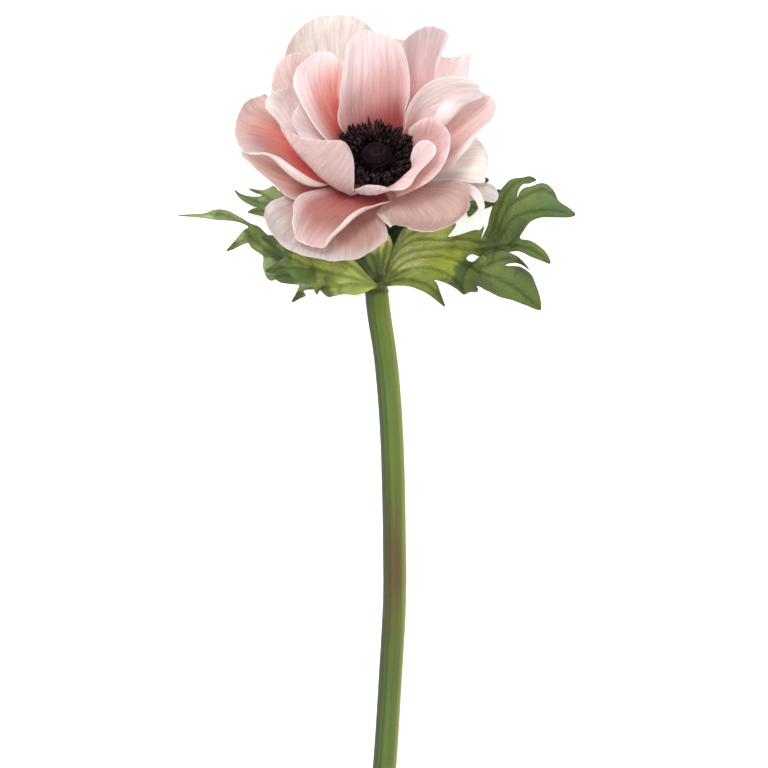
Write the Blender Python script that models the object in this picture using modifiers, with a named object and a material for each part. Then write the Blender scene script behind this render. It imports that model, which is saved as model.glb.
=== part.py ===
"""Anemone flower: a cut stem lying on a surface, the bloom tilted up by its leaves.

Metres, +Z up, +Y along the stem towards the bloom, resting on z = 0.
Outlines are set out on a flat sheet in thirds of a millimetre (x to the right,
y down); the third number of a petal point is its height in millimetres along
the bloom's own axis, that of a leaf point its height on the sheet's scale.
"""
import math

import bmesh
import bpy
import numpy as np
from mathutils import Vector
from mathutils.geometry import delaunay_2d_cdt

for old in list(bpy.data.objects):
    bpy.data.objects.remove(old, do_unlink=True)

MM = 0.001
SHEET = MM / 3.0                 # one unit of the sheet
SHEET_X, SHEET_Y = 377.0, 464.0  # the sheet's point over the origin
BLOOM_X, BLOOM_Y = 377.0, 168.0  # where the bloom's axis meets its base plane
BLOOM_Z = 32.0 * MM              # height of that point above the surface
TILT = math.radians(35.0)        # bloom axis, leaning from upright towards +Y
PETAL_THICK = 0.5 * MM
LEAF_THICK = 0.6 * MM
PETAL_RING = 6.0                 # radius at which the petals are set, mm
PETAL_DIVS = 9                   # faces across and along one petal
STEM_RADIUS = 3.9 * MM
PEDICEL_RADIUS = 2.7 * MM
RECEPTACLE_RADIUS = 5.4 * MM
PISTIL_RADIUS = 5.6 * MM
PISTIL_TOP = 9.4 * MM
STAMEN_COUNT = 26

COS, SIN, TAN = math.cos(TILT), math.sin(TILT), math.tan(TILT)


def ring(rho, a0, a1, h, n):
    """n points round the bloom's axis at radius rho (mm), from azimuth a0 to a1 (degrees)."""
    out = []
    for i in range(n):
        t = i / (n - 1)
        a = math.radians(a0 + (a1 - a0) * t)
        if isinstance(h, list):
            k = t * (len(h) - 1)
            j = min(int(k), len(h) - 2)
            hh = h[j] + (h[j + 1] - h[j]) * (k - j)
        elif isinstance(h, tuple):
            hh = h[0] + (h[1] - h[0]) * (1 - (2 * t - 1) ** 2)
        else:
            hh = h
        out.append((BLOOM_X + 3 * rho * math.cos(a), BLOOM_Y - 3 * (COS * rho * math.sin(a) + SIN * hh), hh))
    return out


# One net per petal: rows from base to tip, each row across the petal.
PETALS = {}
PETALS["petal_top_centre"]=[ring(6.0,112,72,1.6,5),
 [(347,136,8),(357,131,5),(374,128,4),(391,128,5),(402,131,7.5)],
 [(338,122,13.5),(352,112,9.5),(373,109,8.0),(392,109,9),(405,113,12.5)],
 [(339,102,18.2),(353,92,14),(373,88,12.5),(392,89,13.5),(409,95,16)],
 [(343,76,20.6),(354,64,18.6),(373,60,17.7),(391,61,18.5),(408,67,20)],
 [(346,48,21.5),(356,34,22),(372,31,22),(388,36,22.5),(402,45,22.5)]]
PETALS["petal_upper_left"]=[ring(6.0,148,120,1.2,5),
 [(340,148,5.0),(344,143,3.6),(349,139,3),(354,136,3),(358,134,3.2)],
 [(328,142,9.5),(334,136,7),(341,131,5.6),(347,127,5.6),(351,125,6)],
 [(311,122,15),(319,117,12),(328,113,10),(337,111,9.6),(345,112,10.0)],
 [(300,102,18.5),(308,96,16),(320,92,13.8),(332,91,13.3),(342,96,14.2)],
 [(293,83,21),(303,76,18.8),(317,72,17.2),(332,72,17.2),(344,78,18.2)],
 [(298,67,22),(308,58,20.7),(321,52.5,20),(334,54.5,20),(343,66,20.0)]]
PETALS["petal_left_fold"]=[ring(6.0,240,164,1.0,9),
 ring(12.0,248,164,[3.5,2.6,2.0,1.8,1.8,1.8,1.8,1.8,2.0],9),
 [(351,196,3.5),(340,190,6.5),(325,179,9.5),(309,165,12),(296,152,14),(288,140,14.5),(287,130,12),(295,121,8.8),(307,118,5.8)],
 [(353,193,7),(349,180,11),(338,163,14.5),(321,153,16.5),(300,146,17),(285,133,17.5),(276,116,15.5),(283,101,12),(300,97,9.5)],
 [(352,191,9),(354,168,15),(347,145,19),(330,141.5,20),(302,139,20),(283,127,19.5),(267,108,19),(275,93,16.5),(297,87,13.5)]]
PETALS["petal_left_small"]=[ring(6.0,160,146,0.3,5),
 [(342,152,3.4),(344,149,2.6),(346,146,2.2),(348,143,2.0),(350,141,2.0)],
 [(329,150,8.2),(330,143,6.2),(333,137,4.8),(337,132,4.0),(341,129,3.8)],
 [(312,143,11.8),(312,134,9.5),(315,126,8.4),(320,119,8.0),(327,113,8.0)],
 [(301,138,14.5),(300,128,12.5),(303,118,11.5),(309,110,11.2),(317,104,11.2)],
 [(295,130,16.5),(293,119,15.2),(296,109,14.2),(303,102,13.8),(311,98,13.4)]]
PETALS["petal_front_small"]=[ring(6.0,325,252,2.0,8),
 ring(11.5,-5,-116,[5,4.6,4.3,4.2,4.2,4.2,4.2,4.2],8),
 [(411,163,10.3),(412,166,10.3),(411,170,10.3),(405,176,10.5),(399,182,10),(389,190,8.4),(374,196,7.0),(361,196,6.4)],
 [(411,156,14),(417,155,14.5),(421,160,15),(414,172,13.5),(405,183,12.5),(393,191,12),(374,193,10.5),(357,194,9.4)],
 [(413,149,16),(425,141,18),(436,151,19),(420,171,15.5),(411,185,14.5),(397,192,14),(374,186,13.5),(354,190.5,12.0)]]
PETALS["petal_right_inner"]=[ring(6.0,18,-36,1.0,7),
 ring(12.0,26,-66,[3.6,2.6,2,2,2,2,2.6],7),
 [(409,138,7),(419,140,7),(427,147,7),(428,159,7),(420,173,6.5),(408,184,5.2),(395,193,3.6)],
 [(409,132,8.8),(425,128,13),(439,136,14.5),(441,153,14.5),(431,174,12.5),(414,187,8.8),(396,196,5.2)],
 [(409,128.5,10.0),(428,118,17.5),(446,129,20),(450,148,20.5),(438,172,17.5),(418,187.5,12),(397,195.5,7)]]
PETALS["petal_right_arch"]=[ring(6.0,60,30,0.4,6),
 [(398,142,5.0),(402,143,3.6),(405,144,2.8),(408,146,2.2),(411,148,2.0),(413,149.5,2.0)],
 [(404,131,9.0),(408,130,6.0),(413,131,4.6),(418,134,4.2),(422,137,4.6),(424,139,5.6)],
 [(407.5,110,15.0),(416,109,11.5),(427,113,9.3),(439,122,9.5),(445,125,12),(434,117.5,16)],
 [(418,92,17.5),(427,98,14.2),(439,107,12),(453,117,13),(453,112,16.5),(443,104,19)],
 [(436,80,18.8),(444,90,16),(454,98,14.2),(464,107,15.5),(462,103,18),(455,99.5,20)],
 [(461,78,19.2),(465,86,17.5),(469,93,16.2),(474,100.5,17),(472,100,18.4),(468,99.2,19.8)],
 [(478,86,18.8),(480,89,18.2),(481.5,92,17.9),(482.2,94.5,17.8),(481.3,96.5,18.2),(480,97.5,18.6)]]
PETALS["petal_top_right"]=[ring(6.0,78,46,-0.4,5),
 [(389,133,2),(396,132,1.4),(402,132,1.2),(408,134,1.4),(412,138,1.8)],
 [(393,115,4.2),(403,111,3.6),(411,109,3.6),(418,110,4.4),(424,113,6)],
 [(398,92,10),(410,86,8.5),(421,84,8.5),(429,85,11),(434,88,13.2)],
 [(399,64,16),(412,58,14),(425,57,13),(433,60,16),(438,64,19.0)],
 [(402,46,19),(414,31,18),(431,25,17),(443,28,17.5),(451,34,20)]]
PETALS["petal_left_upper"]=[ring(6.0,162,128,-0.5,5),
 [(343,158,.4),(345,151,.4),(348,145,.4),(352,140,.8),(357,136,1.4)],
 [(322,148,3.4),(322,136,2.8),(325,125,2.4),(331,115,3.2),(338,108,4.8)],
 [(297,132,8.0),(294,114,7.2),(298,99,6.8),(307,87,8.2),(319,80,10.5)],
 [(277,110,12.4),(277,91,12),(282,75,12.4),(295,66,12.8),(315,62,13.5)],
 [(270,99,15.0),(272,79,15.2),(279,61,15.4),(298,53.5,15.6),(323,52,16.2)]]
PETALS["petal_left_outer"]=[ring(6.0,204,166,-0.5,6),
 ring(13.0,210,166,[1.2,0.5,-.1,-.3,-.3,-.2],6),
 [(322,184,5.5),(315,187,5.2),(310,172,2.5),(306,156,1.6),(308,144,1.0),(311,133,1.2)],
 [(296,170,13.0),(289,174.5,11.5),(283,161,6.5),(275,142,4.8),(278,124,4.0),(286,111,4.6)],
 [(271,154,16.5),(268,156,14.5),(258,150,10.5),(249,135,8.8),(254,114,8.4),(272,99.5,10.0)],
 [(259,155,15.5),(250,155.5,15),(240,149,14),(235,131,13.5),(245,104.5,13.5),(265,93.5,14.2)]]
PETALS["petal_bottom_front"]=[ring(6.0,276,216,-0.2,6),
 ring(12.5,284,210,[1.2,0.4,0.0,0,0,0],6),
 [(390,202,4.5),(386,203,3.4),(367,205,1.8),(347,202,1.2),(331,196,1.8),(318,190,3.6)],
 [(368,207,9),(369,209.5,7.2),(350,217,3.4),(329,214,2.4),(310,206,3.6),(299,197,7)],
 [(346,220,10.5),(349,224,9),(334,231,5),(315,229,4.0),(301,222,5.2),(293,212,8.0)],
 [(331,240,11),(324,247,9.5),(314,247.5,8.5),(304,245,8),(297,238,8.3),(293,225,9.0)]]
PETALS["petal_bottom_right"]=[ring(6.0,338,282,-0.6,5),
 ring(12.5,340,284,[0.1,-0.5,-0.9,-1.0,-1.0],5),
 [(438,184,5.5),(430,190,3.2),(418,197,1.8),(401,204,1.0),(381,207,0.6)],
 [(459,181,9.0),(451,193,5.6),(434,207,3.6),(408,213,3.0),(376,211.5,2.4)],
 [(468,190,11),(465,207,8),(442,221,5.6),(410,222,5.0),(381,220,6.0)],
 [(469,207,10.4),(460,221,8.6),(430,233,7.4),(405,228.5,6.8),(389,228,7.2)]]
PETALS["petal_right_outer"]=[ring(6.0,24,-15,-0.6,6),
 ring(12.5,28,-17,[-0.4,-0.6,-0.8,-1.1,-1.3,-1.4],6),
 [(427,141,2.6),(428,143,2.2),(430,148,1.8),(430,155,1.6),(431,163,1.4),(433,169,1.8)],
 [(449,119,8.0),(448,121,7.2),(449,130,6.2),(450,142,5.8),(450,156,6.6),(450,171,8.6)],
 [(465,108,13.6),(463,105,13.0),(468,113,10.6),(471,124,9.8),(470,136,10),(466,148,12.4)],
 [(480,98,16.2),(484,94,16.0),(491,95.5,15.0),(496.5,104,14.2),(493,117,14.2),(483,131.5,15.4)]]
PETALS["petal_right_back_up"]=[ring(6.0,62,30,-1.4,5),
 ring(12.5,66,28,[-1.2,-1.5,-1.6,-1.5,-1.2],5),
 [(408,112,1.2),(420,107,.8),(430,106,.8),(439,109,1.4),(446,117,2.8)],
 [(424,82,6.5),(438,77,6),(449,77,5.8),(459,82,7),(466,93,8.6)],
 [(438,55,12),(448,57,11.5),(459,55,12),(471,52,14),(463,76,11)]]
PETALS["petal_left_back"]=[ring(6.0,226,190,-1.4,5),
 ring(13.0,230,186,[-1.0,-1.4,-1.6,-1.6,-1.6],5),
 [(323,202,.8),(318,193,-.2),(314,183,-.7),(312,173,-.9),(312,163,-.6)],
 [(290,197,4.4),(284,187,2.6),(279,175,1.6),(277,163,1.5),(279,150,2.0)],
 [(264,177,8.5),(257,169,6.6),(252,159,5.4),(252,148,5.2),(257,137,5.6)],
 [(250,164,11.0),(243,157,10.2),(242,151,9.4),(245,142,8.0),(250,134,7.6)]]
PETALS["petal_right_back"]=[ring(6.0,12,-18,-1.4,5),
 ring(12.5,14,-18,[-1.9,-2.1,-2.3,-2.5,-2.5],5),
 [(436,150,.2),(437,158,-.3),(438,166,-.4),(438,173,-.4),(437,181,.2)],
 [(460,139,4.4),(463,150,3.4),(465,161,3.2),(465,172,3.6),(463,183,4.4)],
 [(473,138,8),(481,148,6.6),(484.5,160,6.2),(483,172,6.4),(478,184,7)],
 [(477,142,9.0),(485.5,152,8.6),(488,163,8.4),(487,172,8.2),(484,183,8.2)]]
PETALS["petal_right_low_back"]=[ring(6.0,-22,-46,-2.2,5),
 ring(12.5,-24,-48,[-2.9,-2.9,-2.8,-2.6,-2.4],5),
 [(440,174,-1.2),(441,181,-1.3),(441,187,-1.4),(440,193,-1.2),(436,200,-.6)],
 [(466,176,2.6),(468,182,2.0),(468,188,1.8),(466,194,1.8),(461,200,2.4)],
 [(484,183,5.4),(486,188,4.9),(485,193,4.6),(482,197,4.6),(476,201,5.0)],
 [(490,187,7.6),(495,191,7.4),(497,197,7.0),(493,202,6.6),(484,200.5,6.2)]]
PETALS["petal_tongue"]=[ring(6.0,-38,-48,-1.4,3),
 ring(12.5,-37,-45,-1.5,3),
 [(437,188,.2),(435,192,.0),(432,196,.2)],
 [(460,183,4.0),(459,187,3.6),(457,191,3.9)],
 [(476,189,8.6),(472,192,8.0),(469,195,8.0)],
 [(482,199,9.6),(478,201,9.2),(475,202,9.2)],
 [(484,207,9.6),(481,212,9.2),(478,209,9.4)]]
PETALS["petal_top_back"]=[ring(6.0,132,96,-1.4,5),
 ring(13.0,134,90,(-1.2,-1.6),5),
 [(318,112,1.4),(334,101,.4),(351,96,.2),(366,96,.8),(380,99,1.6)],
 [(286,69,9),(309,56,7.2),(336,50,6.4),(358,51,7),(377,58,8.2)],
 [(291,43,16),(305,24,15),(336,14,14),(362,21,14.6),(379,37,15.2)]]
PETALS["petal_top_back_right"]=[ring(6.0,94,62,-2.2,5),
 ring(13.0,92,60,(-2.2,-2.6),5),
 [(370,101,-1.2),(380,98,-1.4),(391,97,-1.6),(402,99,-1.4),(412,103,-.8)],
 [(368,66,4.0),(380,61,3.6),(394,59,3.5),(408,62,3.8),(420,70,4.8)],
 [(378,47,8.0),(388,39,8.2),(399,36.5,8.6),(410,41,8.4),(422,53,8)]]
PETALS["petal_bottom_back"]=[ring(6.0,280,206,-2.2,6),
 ring(13.0,284,200,[-1.6,-2.2,-2.5,-2.6,-2.6,-2.5],6),
 [(380,209,-.6),(362,213,-1.8),(344,213,-2.3),(327,208,-2.4),(314,200,-2.4),(305,188,-1.9)],
 [(384,223,2.6),(366,230,.8),(344,232,-.4),(321,227,-.6),(301,214,.4),(286,196,2)],
 [(387,235,6),(368,245,4.2),(344,249,3),(313,245,2.4),(283,231,3.2),(269,205,5.2)],
 [(384,243,8),(367,253,6.8),(343,260,5.8),(308,256,5.2),(278,243,5.6),(265,216,7.2)]]


def spline_weights(knots, at):
    """Matrix of a natural cubic spline through knots, evaluated at the given places."""
    t = np.asarray(knots, float)
    n = len(t)
    d = np.diff(t)
    a = np.zeros((n, n))
    b = np.zeros((n, n))
    a[0, 0] = a[-1, -1] = 1.0
    for i in range(1, n - 1):
        a[i, i - 1], a[i, i], a[i, i + 1] = d[i - 1], 2 * (d[i - 1] + d[i]), d[i]
        b[i, i - 1], b[i, i], b[i, i + 1] = 6 / d[i - 1], -6 / d[i - 1] - 6 / d[i], 6 / d[i]
    curv = np.linalg.solve(a, b)
    out = np.zeros((len(at), n))
    for r, x in enumerate(at):
        k = min(max(int(np.searchsorted(t, x)) - 1, 0), n - 2)
        w = d[k]
        p, q = (t[k + 1] - x) / w, (x - t[k]) / w
        out[r, k] += p
        out[r, k + 1] += q
        out[r] += ((p ** 3 - p) * curv[k] + (q ** 3 - q) * curv[k + 1]) * w * w / 6
    return out


def bloom_point(x, y, h):
    """Sheet position and axial height of a bloom point, as metres in the part's frame."""
    lift = -TAN * (BLOOM_Y - y) * SHEET + h * MM / COS
    return ((x - SHEET_X) * SHEET, (SHEET_Y - y) * SHEET, BLOOM_Z + lift)


def sheet_point(x, y, w):
    return ((x - SHEET_X) * SHEET, (SHEET_Y - y) * SHEET, BLOOM_Z + w * SHEET)


def chord_knots(points, axis):
    """Places of the rows or columns, spaced by the square root of their mean distance."""
    gap = np.linalg.norm(np.diff(points, axis=axis), axis=2).mean(1 - axis) ** 0.5
    s = np.concatenate([[0.0], np.cumsum(gap)])
    return s / s[-1]


def net_surface(net, us, vs):
    """Points of the smooth sheet through a net, for arrays of u (across) and v (base to tip)."""
    g = np.array([[bloom_point(*p) for p in row] for row in net])
    mv = spline_weights(chord_knots(g, 0), vs)
    mu = spline_weights(chord_knots(g, 1), us)
    return np.einsum("nr,nc,rcd->nd", mv, mu, g)


def material(name, colour, rough):
    m = bpy.data.materials.new(name)
    m.use_nodes = True
    b = m.node_tree.nodes["Principled BSDF"]
    b.inputs["Base Color"].default_value = (*colour, 1.0)
    b.inputs["Roughness"].default_value = rough
    b.inputs["Metallic"].default_value = 0.0
    m.diffuse_color = (*colour, 1.0)
    return m


group = bpy.data.collections.new("anemone_flower")
bpy.context.scene.collection.children.link(group)


def keep(ob, name, colour, rough):
    """Name an object, give it its material and put it in the flower's collection."""
    ob.name = ob.data.name = name
    ob.data.materials.clear()
    ob.data.materials.append(material(name + "_material", colour, rough))
    for c in list(ob.users_collection):
        c.objects.unlink(ob)
    group.objects.link(ob)
    return ob


def solidify(ob, thick):
    m = ob.modifiers.new("thickness", "SOLIDIFY")
    m.thickness = thick
    m.offset = 0.0
    m.use_even_offset = False


def petal(name, net, colour):
    bpy.ops.mesh.primitive_grid_add(x_subdivisions=PETAL_DIVS, y_subdivisions=PETAL_DIVS, size=1.0, location=(0, 0, 0))
    ob = bpy.context.object
    me = ob.data
    us = np.array([v.co.x + 0.5 for v in me.vertices])
    vs = np.array([v.co.y + 0.5 for v in me.vertices])
    for v, p in zip(me.vertices, net_surface(net, us, vs)):
        v.co = p
    me.shade_smooth()
    solidify(ob, PETAL_THICK)
    return keep(ob, name, colour, 0.62)


INNER = (0.88, 0.66, 0.63)
MIDDLE = (0.80, 0.55, 0.52)
OUTER = (0.78, 0.66, 0.62)
SHADES = {"petal_top_centre": INNER, "petal_upper_left": INNER, "petal_left_fold": INNER, "petal_left_small": INNER,
          "petal_front_small": INNER, "petal_right_inner": INNER, "petal_right_arch": INNER}
for key, net in PETALS.items():
    shade = SHADES.get(key, OUTER if "back" in key or "tongue" in key else MIDDLE)
    petal(key, net, shade)


def thin_plate(sites, values):
    """Smooth interpolation of values given at flat sites."""
    s = np.asarray(sites, float)
    n = len(s)

    def kernel(a, b):
        r2 = ((a[:, None, :] - b[None, :, :]) ** 2).sum(2)
        return 0.5 * r2 * np.log(r2 + 1e-9)

    m = np.zeros((n + 3, n + 3))
    m[:n, :n] = kernel(s, s) + np.eye(n) * 2.0
    m[:n, n] = m[n, :n] = 1.0
    m[:n, n + 1:] = s
    m[n + 1:, :n] = s.T
    w = np.linalg.solve(m, np.vstack([np.asarray(values, float), np.zeros((3, 3))]))

    def at(q):
        q = np.asarray(q, float)
        return kernel(q, s) @ w[:n] + w[n] + q @ w[n + 1:]

    return at


def inside(q, ring_points):
    hit = False
    n = len(ring_points)
    for i in range(n):
        (x0, y0), (x1, y1) = ring_points[i], ring_points[(i + 1) % n]
        if (y0 > q[1]) != (y1 > q[1]) and q[0] < x0 + (q[1] - y0) * (x1 - x0) / (y1 - y0):
            hit = not hit
    return hit


def clearance(q, ring_points):
    best = 1e9
    n = len(ring_points)
    for i in range(n):
        a, b = Vector(ring_points[i]), Vector(ring_points[(i + 1) % n])
        d = b - a
        t = max(0.0, min(1.0, (Vector(q) - a).dot(d) / max(d.length_squared, 1e-12)))
        best = min(best, (a + d * t - Vector(q)).length)
    return best


# One outline per leaf, round its edge from the base; a fourth number is how far
# that point lies down the sheet before the lobe is folded over its neighbour.
LEAVES = {}
LEAVES["leaf_right"] = dict(
    outline=[(383, 285, -27), (387, 286, -27), (395, 285.5, -24), (408, 286, -20), (418, 289, -18), (428, 294, -18), (436, 300, -20),
             (441, 304, -22), (445, 306.5, -24), (443, 300, -22), (440, 292, -18), (437, 284, -14), (434, 280, -12), (440, 281, -12),
             (450, 285, -13), (458, 290, -15), (464, 294.5, -17), (470, 292, -16), (478, 291, -16), (477, 287, -14), (476, 285.5, -13),
             (480, 286.5, -12, 2), (490, 292, -10, 6), (500, 297, -9, 8), (512, 300, -10, 8), (525, 305, -12, 8), (535, 309, -15, 8),
             (540.5, 310, -17, 8), (541, 305, -16, 8), (540, 298, -14, 8), (537, 288, -12, 8), (532, 276, -11, 8), (527, 271, -11, 8),
             (520, 267, -11, 8), (513, 266, -11, 8), (505, 265.5, -10, 8), (512, 263.3, -12, 8), (520, 264, -14, 8), (529, 269.5, -20, 8),
             (524, 262.5, -18, 8), (518, 257, -16, 8), (512, 254, -15, 8), (506, 252, -14, 8), (498, 251, -13, 8), (490, 252, -12, 8),
             (483, 254.5, -13, 7), (478, 258, -15, 5), (473, 262, -18, 2), (466, 258.5, -20), (472, 254, -22), (478, 256, -24),
             (484, 257.5, -26), (492, 257, -28), (500, 255.5, -29), (508, 252.5, -30), (515, 251, -31), (522, 252, -32), (530, 256, -35),
             (540, 260, -39), (550.5, 263.5, -43), (549, 257, -42), (545, 251, -40), (538, 245, -38), (530, 240.5, -36), (521, 239, -34),
             (520, 237, -34), (524, 230, -35), (529, 223, -37), (535, 219, -40), (543, 217, -43), (555, 217, -47), (572, 216.5, -52),
             (576, 214, -54), (570, 208, -52), (562, 203, -49), (558, 199, -47), (555, 192, -45), (550, 186, -43), (546, 183.5, -42),
             (540, 183, -41), (532, 186, -39), (524, 188, -38), (520, 192, -37), (517, 198.5, -36), (518.5, 190, -37), (523, 184, -38),
             (530, 183, -40), (536.5, 179.5, -42), (530, 176, -41), (522, 177.5, -40), (516, 178, -39), (510, 180, -38), (505, 185, -37),
             (500, 191, -36), (495, 200, -35), (491, 212, -34), (489, 220, -33), (488, 225, -32), (485, 232, -31), (481, 239, -29),
             (484, 226, -30), (480, 230, -29), (475, 230, -29), (465, 233, -28), (455, 236, -27), (448, 236.5, -27), (452, 231, -27),
             (456, 224, -27), (450, 221, -28), (440, 224, -28), (430, 225, -28), (418, 224, -28), (404, 228, -29), (398, 238, -29),
             (393, 250, -28), (389, 262, -27), (385.5, 274, -27), (383, 281, -27)],
    inside=[(410, 262, -17), (440, 258, -11), (460, 248, -15), (455, 268, -11), (480, 275, -7), (505, 280, -5), (525, 292, -8), (490, 262, -9),
            (500, 225, -26), (515, 215, -29), (540, 200, -36), (520, 246, -29), (430, 238, -21)])
LEAVES["leaf_left"] = dict(
    outline=[(176, 214.5, -89), (200, 217, -84), (215, 219, -81), (230, 220, -78), (240, 222, -76), (248, 226.5, -73), (243, 230, -75),
             (237, 237, -78), (230, 245, -82), (225.5, 250.5, -85), (232, 249, -81), (240, 245, -78), (248, 242.5, -74), (250, 246, -73),
             (255, 250, -71), (263, 256, -68), (262.5, 265, -69), (264, 272, -71), (267, 278, -73), (271, 280.5, -74), (275, 279, -72),
             (280, 282, -71), (290, 283.5, -68), (299, 285, -64), (297, 291, -65), (291.5, 302, -68), (300, 298, -65), (305.5, 295, -64),
             (303, 291, -62), (306, 289.5, -60), (315, 289, -58), (330, 287, -54), (350, 287, -50), (361.5, 289, -46), (361.5, 281, -46),
             (350, 270, -50), (335, 262, -55), (310, 250, -62), (285, 243, -68), (268, 235, -72), (258, 226, -73), (250, 223, -74),
             (242, 218, -76), (235, 214, -78), (227, 210, -80), (218, 208.7, -82), (210, 210, -84), (205, 212.3, -86), (190, 213.5, -89)],
    inside=[(270, 250, -62), (300, 268, -55), (330, 274, -49), (222, 214, -76), (245, 234, -71), (272, 268, -65)])
LEAVES["leaf_front"] = dict(
    outline=[(377, 286, -25), (371, 289.5, -25), (362, 293.5, -22), (355, 295, -20), (345, 294, -18), (334, 296, -17), (328.5, 297, -17),
             (324, 294, -22), (320, 290, -21), (317, 294.5, -15), (315, 292, -14), (312, 285, -14), (305, 283.5, -14), (298, 281.5, -15),
             (292, 277, -14), (288, 272, -13), (282, 273, -12), (275, 273.7, -12), (270, 273, -12), (265.5, 270.8, -12), (272, 266, -12),
             (280, 261, -13), (285, 256, -16), (279, 251, -22), (270, 245, -28), (261.5, 237, -33), (267, 235.3, -32), (273, 235.5, -31),
             (280, 242, -26), (290, 246, -20), (310, 246, -13), (330, 248, -9), (345, 254, -10), (354, 260, -14), (360, 266, -17),
             (365, 272, -20), (372, 279, -23)],
    inside=[(350, 278, -13), (330, 270, -8), (305, 264, -8), (285, 264, -9), (328, 286, -12)])
LEAVES["leaf_up"] = dict(
    outline=[(374.5, 282, -28), (380.8, 282, -28), (384, 274, -25), (388, 262, -22), (391.5, 252, -19), (392.5, 245, -18), (390, 237, -18),
             (386, 231, -19), (382, 225, -20), (370, 219, -24), (350, 211, -32), (325, 203, -45), (300, 195, -60), (286, 189, -70),
             (279, 190.5, -75), (273, 185.2, -79), (267, 188, -82), (262, 189.5, -85), (248, 187.7, -92), (255, 192, -88), (262, 194.3, -85),
             (258, 196, -87), (248, 195.3, -91), (240, 193, -93), (233.5, 188.5, -95), (239, 197, -93), (246, 202, -90), (255, 206, -87),
             (258, 206.3, -86), (251, 208.5, -90), (247, 211.3, -93), (252, 213, -90), (258, 214.5, -87), (264, 216, -83), (275, 220, -76),
             (295, 228, -62), (315, 236, -48), (335, 246, -36), (345, 254, -31), (353, 262, -29), (361, 270, -28), (368, 277, -28)],
    inside=[(376, 262, -22), (372, 240, -19), (350, 230, -24), (320, 218, -40), (285, 204, -68), (362, 262, -24)])
LEAVES["leaf_back"] = dict(
    outline=[(373, 285, -59), (370.5, 262, -59), (377, 238, -60), (384, 222, -62), (398, 206, -66), (420, 195, -72), (445, 185, -79),
             (462, 176, -85), (476, 173, -90), (489.5, 179, -95), (486, 183, -92), (494, 188, -93), (501.5, 189.5, -95), (499, 194, -94),
             (492, 199, -92), (495, 203, -94), (484, 207.5, -94), (480, 203, -90), (478, 208.5, -90), (469, 216, -90), (466, 210, -86),
             (455, 212, -80), (438, 216, -74), (420, 222, -69), (405, 229, -65), (398, 241, -62), (392, 256, -60), (387.5, 272, -59),
             (385, 285, -59)],
    inside=[(380, 262, -57), (400, 222, -62), (440, 200, -72), (470, 192, -82)])

LEAF_STEP = 11.0


def leaf(name, outline, mid, colour):
    flat = [(p[0], -(p[1] + (p[3] if len(p) > 3 else 0))) for p in outline]
    flat_mid = [(p[0], -(p[1] + (p[3] if len(p) > 3 else 0))) for p in mid]
    fold = thin_plate(flat + flat_mid, [p[:3] for p in outline] + [p[:3] for p in mid])
    pts = list(flat)
    xs, ys = [p[0] for p in flat], [p[1] for p in flat]
    row = 0
    y = min(ys)
    while y < max(ys):
        x = min(xs) + (LEAF_STEP / 2 if row % 2 else 0)
        while x < max(xs):
            if inside((x, y), flat) and clearance((x, y), flat) > LEAF_STEP * 0.36:
                pts.append((x, y))
            x += LEAF_STEP
        y += LEAF_STEP * 0.866
        row += 1
    out = delaunay_2d_cdt([Vector(p) for p in pts], [], [list(range(len(flat)))], 1, 1e-5)
    verts = [(v[0], v[1]) for v in out[0]]
    me = bpy.data.meshes.new(name)
    me.from_pydata([sheet_point(*p) for p in fold(verts)], [], [list(f) for f in out[2]])
    me.update()
    me.shade_smooth()
    ob = bpy.data.objects.new(name, me)
    group.objects.link(ob)
    solidify(ob, LEAF_THICK)
    return keep(ob, name, colour, 0.7)


GREENS = {"leaf_right": (0.20, 0.27, 0.09), "leaf_left": (0.19, 0.24, 0.11), "leaf_front": (0.26, 0.32, 0.09),
          "leaf_up": (0.22, 0.30, 0.10), "leaf_back": (0.10, 0.16, 0.06)}
for key, lf in LEAVES.items():
    leaf(key, lf["outline"], lf["inside"], GREENS[key])

# Stem, pedicel and receptacle: one tube with its own radius at each point.
AXIS = Vector((0.0, SIN, COS))
HEART = Vector(bloom_point(BLOOM_X, BLOOM_Y, 0))
STEM = [(370, 914, -84.3), (384.5, 768, -78.3), (389, 700, -74.0), (392, 650, -70.5), (394.5, 600, -67.0), (394.5, 550, -63.5),
        (393.7, 500, -60.0), (392.3, 450, -56.5), (389.5, 400, -52.5), (384.5, 350, -48.5), (377.3, 300, -45.0)]
PEDICEL = [(376.3, 286, -44.5), (376, 262, -45.5), (376.2, 235, -43.5), (376.6, 210, -38.0)]
path = [(Vector(sheet_point(*p)), STEM_RADIUS) for p in STEM]
path += [(Vector(sheet_point(*p)), r) for p, r in zip(PEDICEL, (3.6 * MM, 2.75 * MM, PEDICEL_RADIUS, PEDICEL_RADIUS))]
for h, r in ((-8.0, 2.8), (-5.6, 3.3), (-4.4, 4.6), (-3.2, 5.3), (-0.6, 5.4)):
    path.append((HEART + AXIS * h * MM, r * MM))
s = np.concatenate([[0.0], np.cumsum([(b[0] - a[0]).length for a, b in zip(path[:-1], path[1:])])])
smooth_to = 15
fine = []
for k in range(smooth_to):
    fine += list(np.linspace(s[k], s[k + 1], 3 if k < 10 else 2, endpoint=False))
fine += list(s[smooth_to:])
w = spline_weights(s, fine)
centre = w @ np.array([list(p[0]) for p in path])
radii = np.interp(fine, s, [p[1] for p in path])
cu = bpy.data.curves.new("stem", "CURVE")
cu.dimensions = "3D"
cu.bevel_depth = 1.0 * MM
cu.bevel_resolution = 4
cu.use_fill_caps = True
line = cu.splines.new("POLY")
line.points.add(len(fine) - 1)
for pt, c, r in zip(line.points, centre, radii):
    pt.co = (*c, 1.0)
    pt.radius = r / MM
line.use_smooth = True
ob = bpy.data.objects.new("stem", cu)
group.objects.link(ob)
keep(ob, "stem", (0.17, 0.23, 0.07), 0.55)

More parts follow.
